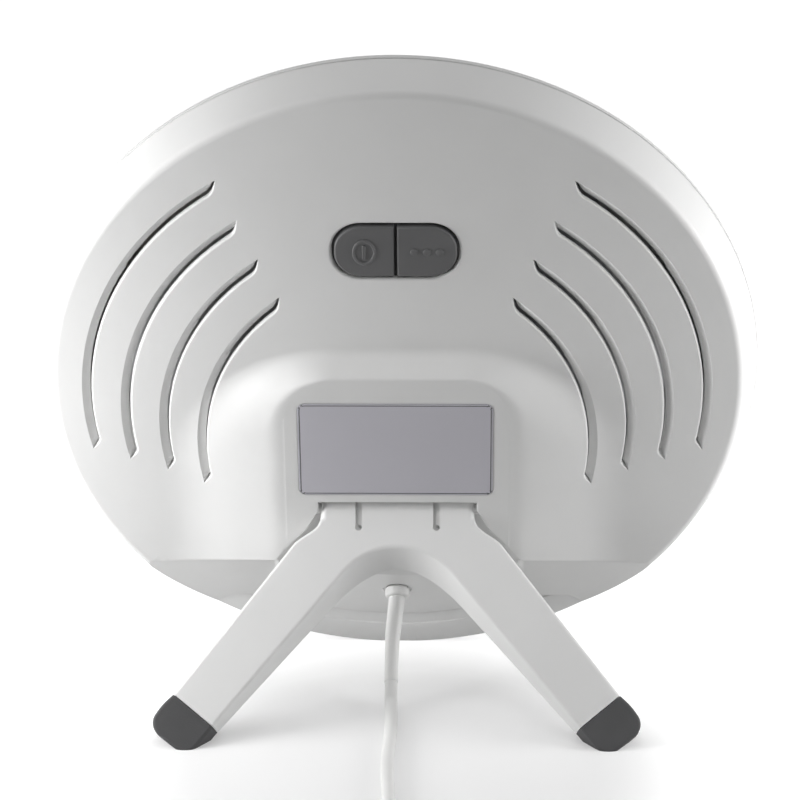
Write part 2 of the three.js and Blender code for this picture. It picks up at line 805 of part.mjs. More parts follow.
// Stand: rings of four corners from the left foot over the arch to the right foot
function standStations() {
  const topEdge = Array.from({ length: hubSteps + 1 }, (_, i) => {
    return new THREE.Vector3((hubHalfWidth * i) / hubSteps, 0, 0);
  });
  const flareEnd = legPoint(legStart, legWidthTop, 1, 0);
  const meet = (hubHalfWidth * Math.cos(splay) - legWidthTop) / Math.sin(splay);
  const flare = new THREE.QuadraticBezierCurve(
    new THREE.Vector2(hubHalfWidth, 0),
    new THREE.Vector2(hubHalfWidth, -meet),
    new THREE.Vector2(flareEnd.x, flareEnd.y),
  );
  const outer = [...topEdge, ...flare.getPoints(flareSteps).slice(1)];
  const stations = outer.map((point, i) => {
    const share = i / (outer.length - 1);
    return [point, frontArch.getPoint(share), backArch.getPoint(share), point];
  });
  const rings = stations.map(([a, b, c, d]) => [
    new THREE.Vector3(a.x, a.y, standFront),
    new THREE.Vector3(b.x, b.y, standFront),
    new THREE.Vector3(c.x, c.y, -legBack),
    new THREE.Vector3(d.x, d.y, -legBack),
  ]);
  const tenonEnd = legEnd - tenonEndGap;
  return [...rings, legRing(capStart, 0, 1), legRing(capStart, capWall, 1), legRing(tenonEnd, capWall, 1)];
}

// A cross-section of the leg, drawn in from every face by the inset
function legRing(along, inset, side) {
  const width = legWidthAt(Math.min(along, capStart));
  const backInset = backInsetAt(Math.min(along, capStart));
  return [
    legPoint(along, width - inset, side, standFront - inset),
    legPoint(along, inset, side, standFront - inset),
    legPoint(along, inset - backInset, side, inset - legBack),
    legPoint(along, width - inset, side, inset - legBack),
  ];
}

function stand() {
  const right = standStations();
  const left = right.slice(1).map((ring) => ring.map((p) => new THREE.Vector3(-p.x, p.y, p.z)));
  const body = lofted([...left.reverse(), ...right]);
  const knuckle = crossRod(knuckleRadius, 2 * hubHalfWidth, 0, 0, 0);
  const trunnions = crossRod(trunnionRadius, 2 * (hubHalfWidth + trunnionLength), 0, 0, 0);
  const slitLength = slitEnd + 2 * knuckleRadius;
  const slitMiddle = knuckleRadius - slitEnd / 2;
  const slitDepth = standFront + legBack + throughCut;
  const slits = [-1, 1].map((side) =>
    box(slitWidth, slitLength, slitDepth, side * slitOffset, slitMiddle, -legBack - overrun),
  );
  const below = belowTable(hingeHeight - soleWall, openAngle - lean);
  return cut(joined(body, knuckle, trunnions), ...slits, below);
}

// Rubber foot: a cap over the leg's tenon with two rounded corners, cut level with the table
function footCap(side) {
  const outline = (backShift, z) => {
    const high = legWidthEnd;
    const low = -backShift;
    const start = capStart + seatGap;
    const turn = legEnd - capCornerRadius;
    const arc = (across, from) =>
      Array.from({ length: arcSteps + 1 }, (_, i) => {
        const angle = from + (i / arcSteps) * (Math.PI / 2);
        return [turn + capCornerRadius * Math.sin(angle), across - capCornerRadius * Math.cos(angle)];
      });
    const lowArc = arc(low + capCornerRadius, 0);
    const highArc = arc(high - capCornerRadius, Math.PI / 2);
    const points = [[start, low], ...lowArc, ...highArc, [start, high]];
    return points.map(([along, across]) => legPoint(along, across, side, z));
  };
  const skin = lofted([outline(legBackInset, -legBack), outline(0, standFront)]);
  const socket = lofted([
    legRing(capStart - overrun, capWall - seatGap, side),
    legRing(legEnd - tenonEndGap + seatGap, capWall - seatGap, side),
  ]);
  const room = socket.subtract(belowTable(hingeHeight - soleWall + seatGap, openAngle - lean));
  return cut(skin, room, belowTable(hingeHeight, openAngle - lean));
}

// Light engine
function boardShape(radius, flatDrop) {
  const shape = new THREE.Shape();
  const start = Math.asin(flatDrop / radius);
  shape.absarc(0, 0, radius, -start, Math.PI + start, false);
  return shape;
}

function ringOfBoxes(radius, count, size) {
  const height = ledHeight + ledBoardThickness / 2;
  const middle = ledBoardDepth - ledHeight + height / 2;
  return Array.from({ length: count }, (_, i) => {
    const led = new THREE.BoxGeometry(size, size, height).translate(radius, 0, middle);
    return solidOf(led.rotateZ(((i + 0.5) / count) * 2 * Math.PI));
  });
}

// A plate of the board's outline with its screw holes and the hole for the LEDs' lead
function roundBoard(thickness, depth) {
  const board = slab(boardShape(boardRadius, boardFlatDrop), thickness, depth, headSegments / 2);
  const holes = heatScrewPlaces().map(([x, y]) => screwHole(x, y, depth - overrun));
  const leadHole = rod(thinLeadRadius + seatGap, throughCut, ledLeadX, ledLeadY, depth - overrun);
  return cut(board, ...holes, leadHole);
}

function ledBoard() {
  const leds = ledRingShares.flatMap((share, i) => {
    return ringOfBoxes(share * boardRadius, ledRingCounts[i], ledSize);
  });
  const colourLeds = ringOfBoxes(colourRingShare * boardRadius, colourLedCount, colourLedSize);
  return joined(roundBoard(ledBoardThickness, ledBoardDepth), ...leds, ...colourLeds);
}

const screwHole = (x, y, z) =>
  rod(screwShankRadius + screwHoleClearance, throughCut, x, y, z, tinySegments);

const heatPlate = () => roundBoard(heatPlateThickness, heatPlateDepth);

const reflectorRing = () =>
  turned([
    [reflectorFootRadius, ledBoardDepth],
    [reflectorFootRadius + reflectorWall, ledBoardDepth],
    [reflectorMouthRadius + reflectorWall, reflectorMouthDepth],
    [reflectorMouthRadius, reflectorMouthDepth],
  ]);

// A pan-head screw whose head lies against the face at the given depth
function screw(x, y, faceDepth) {
  const headEnd = faceDepth - seatGap - screwHeadHeight;
  const head = rod(screwHeadRadius, screwHeadHeight, x, y, headEnd, tinySegments);
  const shank = rod(screwShankRadius, screwLength, x, y, shankStart(faceDepth), tinySegments);
  return head.add(shank);
}

// Driver board and the parts soldered to it
function driverBoard() {
  const middle = (driverTop + driverFoot) / 2;
  const board = box(2 * driverHalfWidth, driverTop - driverFoot, driverThickness, 0, middle, driverDepth);
  return cut(board, ...driverScrewPlaces().map(([x, y]) => screwHole(x, y, driverDepth - overrun)));
}

function onDriver([width, length, height], [x, y]) {
  return box(width, length, height, x, driverFoot + y, driverBack + seatGap);
}

function transformer() {
  const [width, length, height] = transformerSize;
  const core = onDriver([width, length * coreLengthShare, height], transformerPlace);
  const windingSize = [width * windingWidthShare, length, height * windingHeightShare];
  const winding = onDriver(windingSize, transformerPlace);
  return core.add(winding);
}

function terminalBlock() {
  const [x, y] = terminalPlace;
  const bore = new THREE.CylinderGeometry(terminalBore, terminalBore, terminalSize[1], tinySegments);
  bore.translate(x, driverFoot + y - terminalSize[1] / 2, driverBack + seatGap + terminalSize[2] / 2);
  return onDriver(terminalSize, terminalPlace).subtract(solidOf(bore));
}

function smoothingCapacitor() {
  const [x, y] = capPlace;
  return crossRod(capRadius, capLengthLying, x, driverFoot + y, driverBack + seatGap + capRadius);
}

// Key board with its two switches, each with a well for the key's stem
const keyBoardDepth = heatPlateBack + seatGap;

const keyBoard = () =>
  box(2 * keyBoardHalfWidth, 2 * keyBoardHalfHeight, keyBoardThickness, 0, keypadHeight, keyBoardDepth);

function keySwitch(side) {
  const z = keyBoardDepth + keyBoardThickness + seatGap;
  const body = box(switchSize, switchSize, switchHeight, side * keyCentre, keypadHeight, z);
  const wellLength = switchHeight + throughCut;
  return body.subtract(rod(switchWellRadius, wellLength, side * keyCentre, keypadHeight, z - overrun));
}

// The tapered strain relief, flexed a little to one side
function strainRelief() {
  const length = glandCollar + reliefLength;
  const sleeve = rod(reliefRootRadius, length, 0, 0, 0, smallSegments, reliefTipRadius);
  return sleeve.rotate([0, -reliefTilt, 0]);
}

function reliefPoint(distance) {
  const flex = degToRad(reliefTilt);
  return glandAxisPoint(distance * Math.cos(flex)).add(new THREE.Vector3(-distance * Math.sin(flex), 0, 0));
}

// Gland: collar outside the cover, flange inside it, a bore for the cord and the relief
function cordGland() {
  const flangeFace = -coverWall - seatGap;
  const bush = turned(
    [
      [0, glandCollar],
      [glandRadius, glandCollar],
      [glandRadius, seatGap],
      [glandNeckRadius, seatGap],
      [glandNeckRadius, flangeFace],
      [glandFlangeRadius, flangeFace],
      [glandFlangeRadius, flangeFace - glandFlangeThickness],
      [glandNeckRadius, flangeFace - glandFlangeThickness],
      [glandNeckRadius, -glandInside],
      [innerLeadRadius + 2 * seatGap, -glandInside],
      [innerLeadRadius + 2 * seatGap, -glandBoreEnd],
      [0, -glandBoreEnd],
    ],
    smallSegments,
  );
  return atGland(bush.add(strainRelief()));
}

// Inner leads
function glandAxisPoint(distance) {
  return new THREE.Vector3(
    glandX,
    -glandDrop - distance * Math.sin(glandTilt),
    glandDepth + distance * Math.cos(glandTilt),
  );
}

function innerMainsLead() {
  const height = (heatPlateBack + recessDepth - coverWall) / 2;
  const [terminalX, terminalY] = terminalPlace;
  const terminalZ = driverBack + seatGap + terminalSize[2] / 2;
  const entry = driverFoot + terminalY - terminalSize[1] / 2;
  const edge = driverFoot - 2 * innerLeadRadius;
  return lead(
    [
      glandAxisPoint(-glandBoreEnd - seatGap),
      glandAxisPoint(-glandInside),
      new THREE.Vector3(terminalX * leadBendShare, -boardFlatDrop + overrun, height),
      new THREE.Vector3(terminalX, -hingeDrop - overrun, height),
      new THREE.Vector3(terminalX, edge - innerLeadRadius, height),
      new THREE.Vector3(terminalX, edge + innerLeadRadius, terminalZ - innerLeadRadius),
      new THREE.Vector3(terminalX, entry, terminalZ),
      new THREE.Vector3(terminalX, entry + terminalSize[1] * leadBendShare, terminalZ),
    ],
    innerLeadRadius,
    leadSteps,
    leadSides,
  );
}

const ledLead = () =>
  rod(thinLeadRadius, driverDepth - seatGap - ledBoardDepth, ledLeadX, ledLeadY, ledBoardDepth, leadSides);

function keyRibbon() {
  const z = keyBoardDepth;
  const from = keypadHeight - keyBoardHalfHeight - seatGap;
  const to = driverTop + seatGap;
  const strip = (y, low) => [
    new THREE.Vector3(-ribbonHalfWidth, y, low),
    new THREE.Vector3(ribbonHalfWidth, y, low),
    new THREE.Vector3(ribbonHalfWidth, y, low + ribbonThickness),
    new THREE.Vector3(-ribbonHalfWidth, y, low + ribbonThickness),
  ];
  return lofted([strip(from, z), strip((from + to) / 2, z), strip(to, driverBack - ribbonThickness)]);
}

// Cord on the table
const cord = () => lead(cordRoute, cordRadius, cordSteps, cordSides);

// Coil: the cord spirals in on the table, climbs a layer in the half turn where it reverses, and
// spirals out again on top. It starts at its +x side, runs clockwise and lies on the table.
const coilGrowth = coilPitch / (2 * Math.PI);
const coilHalfTurn = coilTurnsPerLayer * 2 * Math.PI;
const coilInnerRadius = coilMeanRadius - (coilPitch * coilTurnsPerLayer) / 2;
const coilStartRadius = coilInnerRadius + coilPitch * coilTurnsPerLayer;
const coilStart = cordRoute.at(-1).clone().add(new THREE.Vector3(0, -seatGap, 0));
const coilCentre = new THREE.Vector3(coilStart.x - coilStartRadius, coilStart.y - cordDiameter, 0);

function coilPoint(turn) {
  const past = turn - coilHalfTurn;
  const radius = coilInnerRadius + coilGrowth * Math.abs(past);
  const climb = THREE.MathUtils.smoothstep(past, -Math.PI / 2, Math.PI / 2);
  return new THREE.Vector3(
    coilCentre.x + radius * Math.cos(turn),
    coilCentre.y - radius * Math.sin(turn),
    cordRadius + coilPitch * climb,
  );
}

function coilPoints() {
  const count = Math.round(2 * coilTurnsPerLayer * coilLoopSteps);
  const turns = Array.from({ length: count + 1 }, (_, i) => coilPoint((2 * coilHalfTurn * i) / count));
  const end = turns.at(-1);
  const heading = end.clone().sub(turns.at(-2)).setZ(0).normalize();
  const tail = end.clone().addScaledVector(heading, cordDiameter);
  return { points: [coilStart, ...turns, tail], tail, heading };
}

// The tube over the coil's points, its six-sided section kept upright at every step
function coil() {
  const { points } = coilPoints();
  const up = new THREE.Vector3(0, 0, 1);
  const rings = points.map((point, i) => {
    const along = points[Math.min(i + 1, points.length - 1)].clone().sub(points[Math.max(i - 1, 0)]);
    const across = up.clone().cross(along).normalize();
    return Array.from({ length: coilSides }, (_, k) => {
      const angle = ((k + 0.5) / coilSides) * 2 * Math.PI;
      return point
        .clone()
        .addScaledVector(across, cordRadius * Math.cos(angle))
        .addScaledVector(up, cordRadius * Math.sin(angle));
    });
  });
  return lofted(rings);
}

// Least gap between one loop of the coil and another, measured on its points
function coilGap() {
  const { points } = coilPoints();
  const near = coilLoopSteps / 2;
  let least = Infinity;
  points.forEach((a, i) => {
    for (let k = i + near; k < points.length; k += 1) {
      least = Math.min(least, a.distanceTo(points[k]) - cordDiameter);
    }
  });
  return least;
}

// Cord from the coil down to the plug, and the plug lying flat beside the coil
const plugDrop = coilPitch + cordRadius - plugHeight / 2;

function plugPlacement() {
  const { tail, heading } = coilPoints();
  const from = tail.clone().addScaledVector(heading, seatGap);
  const to = from.clone().addScaledVector(heading, tailRun);
  to.z = plugHeight / 2;
  return { from, to, heading };
}

function plugTail() {
  const { from, to, heading } = plugPlacement();
  const points = tailDropShares.map((share) => {
    const point = from.clone().addScaledVector(heading, tailRun * share);
    const drop = THREE.MathUtils.smoothstep(share, tailDropShares[0], tailDropShares.at(-1));
    return point.setZ(from.z - plugDrop * drop);
  });
  return lead([from, ...points, to], cordRadius, tailSteps, cordSides);
}

function atPlug(solid) {
  const { to, heading } = plugPlacement();
  const turn = THREE.MathUtils.radToDeg(Math.atan2(heading.y, heading.x));
  return solid.rotate([0, 0, turn]).translate([to.x, to.y, 0]);
}

function plugBody() {
  const start = seatGap + plugTailLength;
  const half = plugWidth / 2;
  const neck = plugTailWidth / 2;
  const outline = polygon([
    [start, -neck],
    [start + plugLength * plugShoulderShare, -half],
    [start + plugLength, -half],
    [start + plugLength, half],
    [start + plugLength * plugShoulderShare, half],
    [start, neck],
  ]);
  const body = roundedSlab(outline, plugHeight, 0, plugEdge, smallEdgeSteps);
  const tailSolid = plugTailLength + overrun;
  const tail = new THREE.CylinderGeometry(plugTailRadius, cordRadius + seatGap, tailSolid, tinySegments);
  tail.rotateZ(-Math.PI / 2).translate(tailSolid / 2 + seatGap, 0, plugHeight / 2);
  const seats = [-1, 1].map((side) => {
    const length = pinSeat + overrun;
    const x = start + plugLength + plugEdge - pinSeat + length / 2;
    const y = (side * pinSpacing) / 2;
    return crossRod(pinRadius + seatGap, length, x, y, plugHeight / 2, tinySegments);
  });
  return atPlug(cut(body.add(solidOf(tail)), ...seats));
}

function plugPin(side) {
  const face = seatGap + plugTailLength + plugLength + plugEdge;
  const length = pinSeat - seatGap + pinLength;
  const x = face - pinSeat + seatGap + length / 2;
  return atPlug(crossRod(pinRadius, length, x, (side * pinSpacing) / 2, plugHeight / 2, tinySegments));
}

// Head, in its own frame
const head = new THREE.Group();
head.rotation.x = Math.PI / 2 + lean;
head.position.z = headCentreHeight;
head.add(
  named("front_frame", frontFrame(), whiteShell),
  named("diffuser", diffuser(), opal),
  named("rear_cover", rearCover(), whiteShell),
  named("reflector_ring", reflectorRing(), boardWhite),
  named("led_board", ledBoard(), boardWhite),
  named("heat_plate", heatPlate(), aluminium),
  named("driver_board", driverBoard(), boardGreen),
  named("transformer", transformer(), yellowPart),
  named("film_capacitor", onDriver(filmCapSize, filmCapPlace), yellowPart),
  named("smoothing_capacitor", smoothingCapacitor(), darkPart),
  named("terminal_block", terminalBlock(), boardWhite),
  named("key_board", keyBoard(), boardGreen),
  named("power_switch", keySwitch(-1), darkPart),
  named("colour_switch", keySwitch(1), darkPart),
  named("power_key", powerKey(), greyKey),
  named("colour_key", colourKey(), greyKey),
  named("rating_plate", ratingPlate(), labelFoil),
  named("cord_gland", cordGland(), cordWhite),
  named("inner_mains_lead", innerMainsLead(), cordWhite),
  named("led_lead", ledLead(), darkPart),
  named("key_ribbon", keyRibbon(), boardWhite),
);
heatScrewPlaces().forEach(([x, y], i) => {
  head.add(named(`heat_plate_screw_${i + 1}`, screw(x, y, ledBoardDepth), steel));
});
driverScrewPlaces().forEach(([x, y], i) => {
  head.add(named(`driver_screw_${i + 1}`, screw(x, y, driverDepth), steel));
});

// Stand and its feet, turned out from the head about the hinge
const standGroup = new THREE.Group();
standGroup.position.set(0, -hingeDrop, hingeDepth);
standGroup.rotation.x = -openAngle;
standGroup.add(
  named("stand", stand(), whiteShell),
  named("foot_cap_left", footCap(-1), rubber),
  named("foot_cap_right", footCap(1), rubber),
);
head.add(standGroup);

// The lamp, centred over the origin
const lamp = new THREE.Group();
lamp.add(head);
const room = new THREE.Box3().setFromObject(lamp, true);
lamp.position.y = -(room.min.y + room.max.y) / 2;

// The cord lies on the table in the finished part's own frame
const part = new THREE.Group();
part.add(
  lamp,
  named("mains_cord", cord(), cordWhite),
  named("cord_coil", coil(), cordWhite),
  named("cord_tail", plugTail(), cordWhite),
  named("plug_body", plugBody(), cordWhite),
  named("plug_pin_left", plugPin(-1), steel),
  named("plug_pin_right", plugPin(1), steel),
);
part.updateMatrixWorld(true);

const reliefTip = reliefPoint(glandCollar + reliefLength).applyMatrix4(head.matrixWorld);
const hinge = new THREE.Vector3(0, -hingeDrop, hingeDepth).applyMatrix4(head.matrixWorld);
const listed = (point) => point.toArray().map((value) => value.toFixed(2)).join(" ");
console.log("least gap between loops of the coil", coilGap().toFixed(2), "mm");
console.log("tip of the cord's relief", listed(reliefTip));
console.log("hinge axis", listed(hinge));
console.log("stand folds by", THREE.MathUtils.radToDeg(openAngle).toFixed(2), "degrees");

export default part;
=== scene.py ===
"""Round light therapy lamp seen from behind: shapes, finishes, lead and stage of its visual model."""
import json

import bmesh
import bpy
import numpy as np
from bpy.props import FloatProperty, FloatVectorProperty, PointerProperty
from bpy.types import Operator, Panel, PropertyGroup
from mathutils import Matrix, Vector


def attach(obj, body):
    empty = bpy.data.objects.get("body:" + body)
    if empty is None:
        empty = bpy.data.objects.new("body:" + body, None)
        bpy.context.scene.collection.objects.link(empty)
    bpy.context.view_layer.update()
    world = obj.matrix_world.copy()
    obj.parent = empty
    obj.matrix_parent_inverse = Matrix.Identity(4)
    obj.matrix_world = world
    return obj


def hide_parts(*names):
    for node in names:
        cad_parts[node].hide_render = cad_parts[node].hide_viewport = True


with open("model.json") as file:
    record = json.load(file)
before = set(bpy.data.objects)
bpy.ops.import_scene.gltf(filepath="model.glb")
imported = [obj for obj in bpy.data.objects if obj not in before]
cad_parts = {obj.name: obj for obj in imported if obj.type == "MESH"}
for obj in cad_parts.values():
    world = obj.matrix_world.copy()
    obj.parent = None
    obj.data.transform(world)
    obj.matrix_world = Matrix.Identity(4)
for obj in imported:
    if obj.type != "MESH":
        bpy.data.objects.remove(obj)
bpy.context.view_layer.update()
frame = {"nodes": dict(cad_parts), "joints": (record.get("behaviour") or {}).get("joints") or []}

bl_info = {
    "name": "Light Therapy Lamp",
    "version": (1, 0, 0),
    "blender": (4, 5, 0),
    "location": "View3D > Sidebar > Lamp",
    "description": "Builds a round light therapy lamp with its folding stand, keys, vents and mains lead",
    "category": "Add Mesh",
}

HINGE = np.array(frame["joints"][0]["pos_m"])
RIM_CENTRE = np.array((0.0, 0.017128, 0.145265))
LEAN = np.radians(15.0)
HEAD_AXES = np.array((
    (1.0, 0.0, 0.0),
    (0.0, -np.sin(LEAN), np.cos(LEAN)),
    (0.0, -np.cos(LEAN), -np.sin(LEAN)),
))
OPENING = np.radians(47.88)
STAND_AXES = np.array((
    HEAD_AXES[0],
    np.cos(OPENING) * HEAD_AXES[1] - np.sin(OPENING) * HEAD_AXES[2],
    np.sin(OPENING) * HEAD_AXES[1] + np.cos(OPENING) * HEAD_AXES[2],
))
SPLAY = np.radians(39.5)
HINGE_DROP = 0.0556  # of the hinge axis below the rim's middle
ROUND_STEPS = 256
SURFACE_MARGIN = 0.004  # by which cutting tools stand out of a surface
CLEARANCE = 0.0003  # between pieces that touch


def size(name, default, description):
    """A length in metres that a user may change."""
    return FloatProperty(name=name, description=description, default=default, unit="LENGTH", precision=5)


def tint(name, default, description):
    """A linear colour that a user may change."""
    return FloatVectorProperty(
        name=name, description=description, default=default, subtype="COLOR", min=0, max=1)


def watts(name, default, description):
    """A light's power that a user may change."""
    return FloatProperty(name=name, description=description, default=default, unit="POWER")


def factor(name, default, description):
    """A plain strength that a user may change."""
    return FloatProperty(name=name, description=description, default=default, subtype="FACTOR")


class LampHeadSizes(PropertyGroup):
    rim_radius: size("Rim radius", 0.150, "Radius of the front frame")
    cover_radius: size("Cover radius", 0.1498, "Radius of the rear cover at its foot")
    back_radius: size("Back radius", 0.1428, "Radius where the steep side would meet the back")
    back_depth: size("Back depth", 0.0225, "Depth of the domed back's middle behind the lit side's rim")
    edge_depth: size("Edge depth", 0.0192, "Depth of the domed back at its edge")
    shoulder: size("Shoulder", 0.004, "Rounding between the side and the back")
    wall: size("Wall", 0.0022, "Wall of the rear cover")
    crease_drop: size("Crease drop", 0.0900, "How far below the middle the slanted underside starts")
    crease_depth: size("Crease depth", 0.0206, "Depth of the back where the slanted underside starts")
    facet_drop: size("Facet drop", 0.1218, "How far below the middle the slanted underside ends")
    flange_depth: size("Flange depth", 0.0056, "Depth of the frame's rear flange")
    cone_foot: size("Cone foot", 0.132, "Radius of the middle underside at the flange")
    cone_top: size("Cone top", 0.0889, "Radius of the middle underside at its top")
    cone_depth: size("Cone depth", 0.032, "Depth of the middle underside's top")
    pad_depth: size("Pad depth", 0.033, "Depth of the raised pad")
    pad_half_width: size("Pad half width", 0.0465, "Half the width of the pad's flat")
    pad_top: size("Pad top", 0.0135, "Upper end of the pad's flat")
    pad_blend: size("Pad blend", 0.007, "Width of the soft slope round the pad")
    pad_corner: size("Pad corner", 0.020, "Corner radius of the pad's flat")
    slope_width: size("Slope width", 0.055, "Width of the long slope beside the pad")
    slope_top: size("Slope top", 0.010, "Width of the slope above the pad")
    slope_fall: size("Slope fall", 0.045, "How much deeper the slope's outer corners are than the pad's")
    recess_depth: size("Recess depth", 0.0237, "Floor of the recess that the folded stand fills")
    keypad_height: size("Keypad height", 0.0702, "How far above the middle the keys are")
    lip: size("Lip", 0.0013, "Rounding of the openings' edges")


class LampStandSizes(PropertyGroup):
    hub_half_width: size("Hub half width", 0.0324, "Half the width of the stand's plate")
    front: size("Front", 0.004, "The plate's face outside the hinge axis")
    back: size("Back", 0.005, "The plate's face inside the hinge axis")
    knuckle: size("Knuckle", 0.004, "Radius of the hinge bar")
    leg_start: size("Leg start", 0.036, "Where the straight legs begin, along the leg")
    cap_start: size("Cap start", 0.120, "Where the foot caps begin, along the leg")
    leg_end: size("Leg end", 0.137, "End of the leg")
    width_top: size("Leg width", 0.0236, "Width of the leg where it begins")
    width_end: size("Leg end width", 0.0213, "Width of the leg at its cap")
    slit_offset: size("Slit offset", 0.0163, "Distance of the spring slits from the middle")
    slit_end: size("Slit end", 0.0103, "Depth of the spring slits below the hinge axis")
    flare_end: size("Flare end", 0.040, "Where the outer edge of the straight legs begins, along the leg")
    edge: size("Edge", 0.0016, "Rounding of the outer edges")


class LampLeadSizes(PropertyGroup):
    diameter: size("Diameter", 0.0054, "Diameter of the mains lead")
    relief_length: size("Relief length", 0.042, "Length of the tapered strain relief")
    relief_radius: size("Relief radius", 0.0034, "Radius of the strain relief at its root")
    coil_radius: size("Coil radius", 0.0324, "Mean radius of the coil")
    coil_pitch: size("Coil pitch", 0.0059, "Distance from one turn of the coil to the next")


class LampColours(PropertyGroup):
    shell: tint("Shell", (0.80, 0.80, 0.795), "White moulded plastic")
    opal: tint("Diffuser", (0.86, 0.85, 0.82), "Opal diffuser")
    key: tint("Keys", (0.105, 0.105, 0.107), "Soft grey keys")
    rubber: tint("Feet", (0.075, 0.075, 0.077), "Rubber of the feet")
    label: tint("Rating plate", (0.56, 0.55, 0.60), "Satin foil of the rating plate")
    lead: tint("Lead", (0.80, 0.80, 0.79), "Sheath of the mains lead")
    floor: tint("Floor", (0.70, 0.70, 0.70), "Studio floor")


class LampStage(PropertyGroup):
    left_power: watts("Left light", 1.0, "Power of the left softbox")
    right_power: watts("Right light", 1.15, "Power of the right softbox")
    top_power: watts("Top light", 2.3, "Power of the top softbox")
    upper_left_power: watts("Upper left light", 0.5, "Power of the upper left softbox")
    upper_right_power: watts("Upper right light", 0.3, "Power of the upper right softbox")
    ambient: factor("Ambient", 0.01, "Strength of the pale room")
    # Painted light on the floor: its glow is weakest round the shadow's middle, which paints a darker patch
    # round the lamp, and white farther out, over any shadow there.
    floor_lift: factor("Floor lift", 0.22, "Brightness added to the floor under the lamp")
    white_start: size("White start", 0.08, "Where the floor starts to turn white, from the shadow's middle")
    white_end: size("White end", 0.17, "Where the floor is white, from the shadow's middle")
    shadow_place: size("Shadow place", 0.075, "How far behind the rim the shadow's middle is")


# Shapes from arrays

def in_head(points):
    """World place of points given as across, up the disc and out of the back."""
    return RIM_CENTRE + np.asarray(points) @ HEAD_AXES


def in_stand(points):
    """World place of points given across, up the plate and out of its face, from the hinge axis."""
    return HINGE + np.asarray(points) @ STAND_AXES


def placed(name, data):
    """An object at the origin with this mesh, curve, light or camera."""
    obj = bpy.data.objects.new(name, data)
    bpy.context.scene.collection.objects.link(obj)
    return obj


def mesh_of(name, points, faces):
    """A mesh with its faces turned outwards."""
    mesh = bpy.data.meshes.new(name)
    mesh.from_pydata(np.asarray(points).tolist(), [], faces)
    edit = bmesh.new()
    edit.from_mesh(mesh)
    bmesh.ops.recalc_face_normals(edit, faces=edit.faces)
    edit.to_mesh(mesh)
    edit.free()
    return mesh


def skin(name, loops, ring=False):
    """Closed surface over a grid: row i, column j goes to row i + 1, column j + 1; each row closes on
    itself, and either the last row closes on the first or both end rows get a flat face."""
    loops = np.asarray(loops)
    rows, cols = loops.shape[:2]
    i, j = np.meshgrid(np.arange(rows if ring else rows - 1), np.arange(cols), indexing="ij")
    down, right = (i + 1) % rows, (j + 1) % cols
    quads = np.stack((i * cols + j, i * cols + right, down * cols + right, down * cols + j), -1)
    faces = quads.reshape(-1, 4).tolist()
    if not ring:
        faces.append(list(range(cols)))
        faces.append(list(range((rows - 1) * cols, rows * cols)))
    return placed(name, mesh_of(name, loops.reshape(-1, 3), faces))


def turned(name, profile, ring=False, place=in_head, steps=ROUND_STEPS):
    """Surface of revolution: each profile pair (radius, depth) goes round as
    (radius cos a, radius sin a, depth)."""
    radius, depth = np.asarray(profile).T
    angle = np.linspace(0, 2 * np.pi, steps, endpoint=False)
    points = np.stack((
        radius[:, None] * np.cos(angle),
        radius[:, None] * np.sin(angle),
        np.broadcast_to(depth[:, None], (len(radius), steps)),
    ), -1)
    return skin(name, place(points), ring)


def stacked(name, outlines, depths, place=in_head):
    """Surface through flat outlines (k, n, 2), each at its own depth, or each point at its own."""
    outlines = np.asarray(outlines)
    depths = np.asarray(depths)
    depths = np.broadcast_to(depths if depths.ndim == 2 else depths[:, None], outlines.shape[:2])
    return skin(name, place(np.concatenate((outlines, depths[..., None]), -1)))


def slab(name, outline, low, high, place=in_head):
    """Straight piece: one flat outline at two depths."""
    return stacked(name, (outline, outline), (low, high), place)


def circle(radius, middle=(0.0, 0.0), steps=32):
    """Outline (x + radius cos a, y + radius sin a)."""
    angle = np.linspace(0, 2 * np.pi, steps, endpoint=False)
    return np.stack((middle[0] + radius * np.cos(angle), middle[1] + radius * np.sin(angle)), -1)


def rounded_box(half_width, low, high, radius, steps=10):
    """Outline of a rectangle whose corners are quarter circles, or quarter ellipses of two radii,
    counter-clockwise."""
    wide, tall = np.broadcast_to(radius, 2)
    turn = np.linspace(0, np.pi / 2, steps)
    corners = (
        (half_width - wide, high - tall, 0.0),
        (wide - half_width, high - tall, np.pi / 2),
        (wide - half_width, low + tall, np.pi),
        (half_width - wide, low + tall, 1.5 * np.pi),
    )
    parts = [np.stack((x + wide * np.cos(turn + a), y + tall * np.sin(turn + a)), -1) for x, y, a in corners]
    return np.concatenate(parts)


def sides_split(outline, steps):
    """Outline of four corner curves whose straight sides between them are split evenly, so that the
    points on them can follow a curved surface."""
    corners = outline.reshape(4, -1, 2)
    last, following = corners[:, -1, None], np.roll(corners[:, :1], -1, axis=0)
    share = np.linspace(0, 1, steps, endpoint=False)[1:, None]
    return np.concatenate((corners, last + (following - last) * share), 1).reshape(-1, 2)


def rounded_top(edge, steps=6):
    """Insets and drops of a quarter circle from a wall on to a top face."""
    turn = np.linspace(0, np.pi / 2, steps)
    return edge * (1 - np.cos(turn)), edge * (1 - np.sin(turn))


def flared(name, outline_at, floor, surface_at, lip):
    """Cutting tool with a mouth that rounds outwards: the outline grows by lip (1 - cos a) while
    the depth rises to the surface by lip sin a."""
    growth, drop = rounded_top(lip)
    outlines = np.array([outline_at(g) for g in (0.0, *growth, lip)])
    depth = surface_at(outlines) - np.array((0.0, *drop, -SURFACE_MARGIN))[:, None]
    depth[0] = floor
    return stacked(name, outlines, depth)


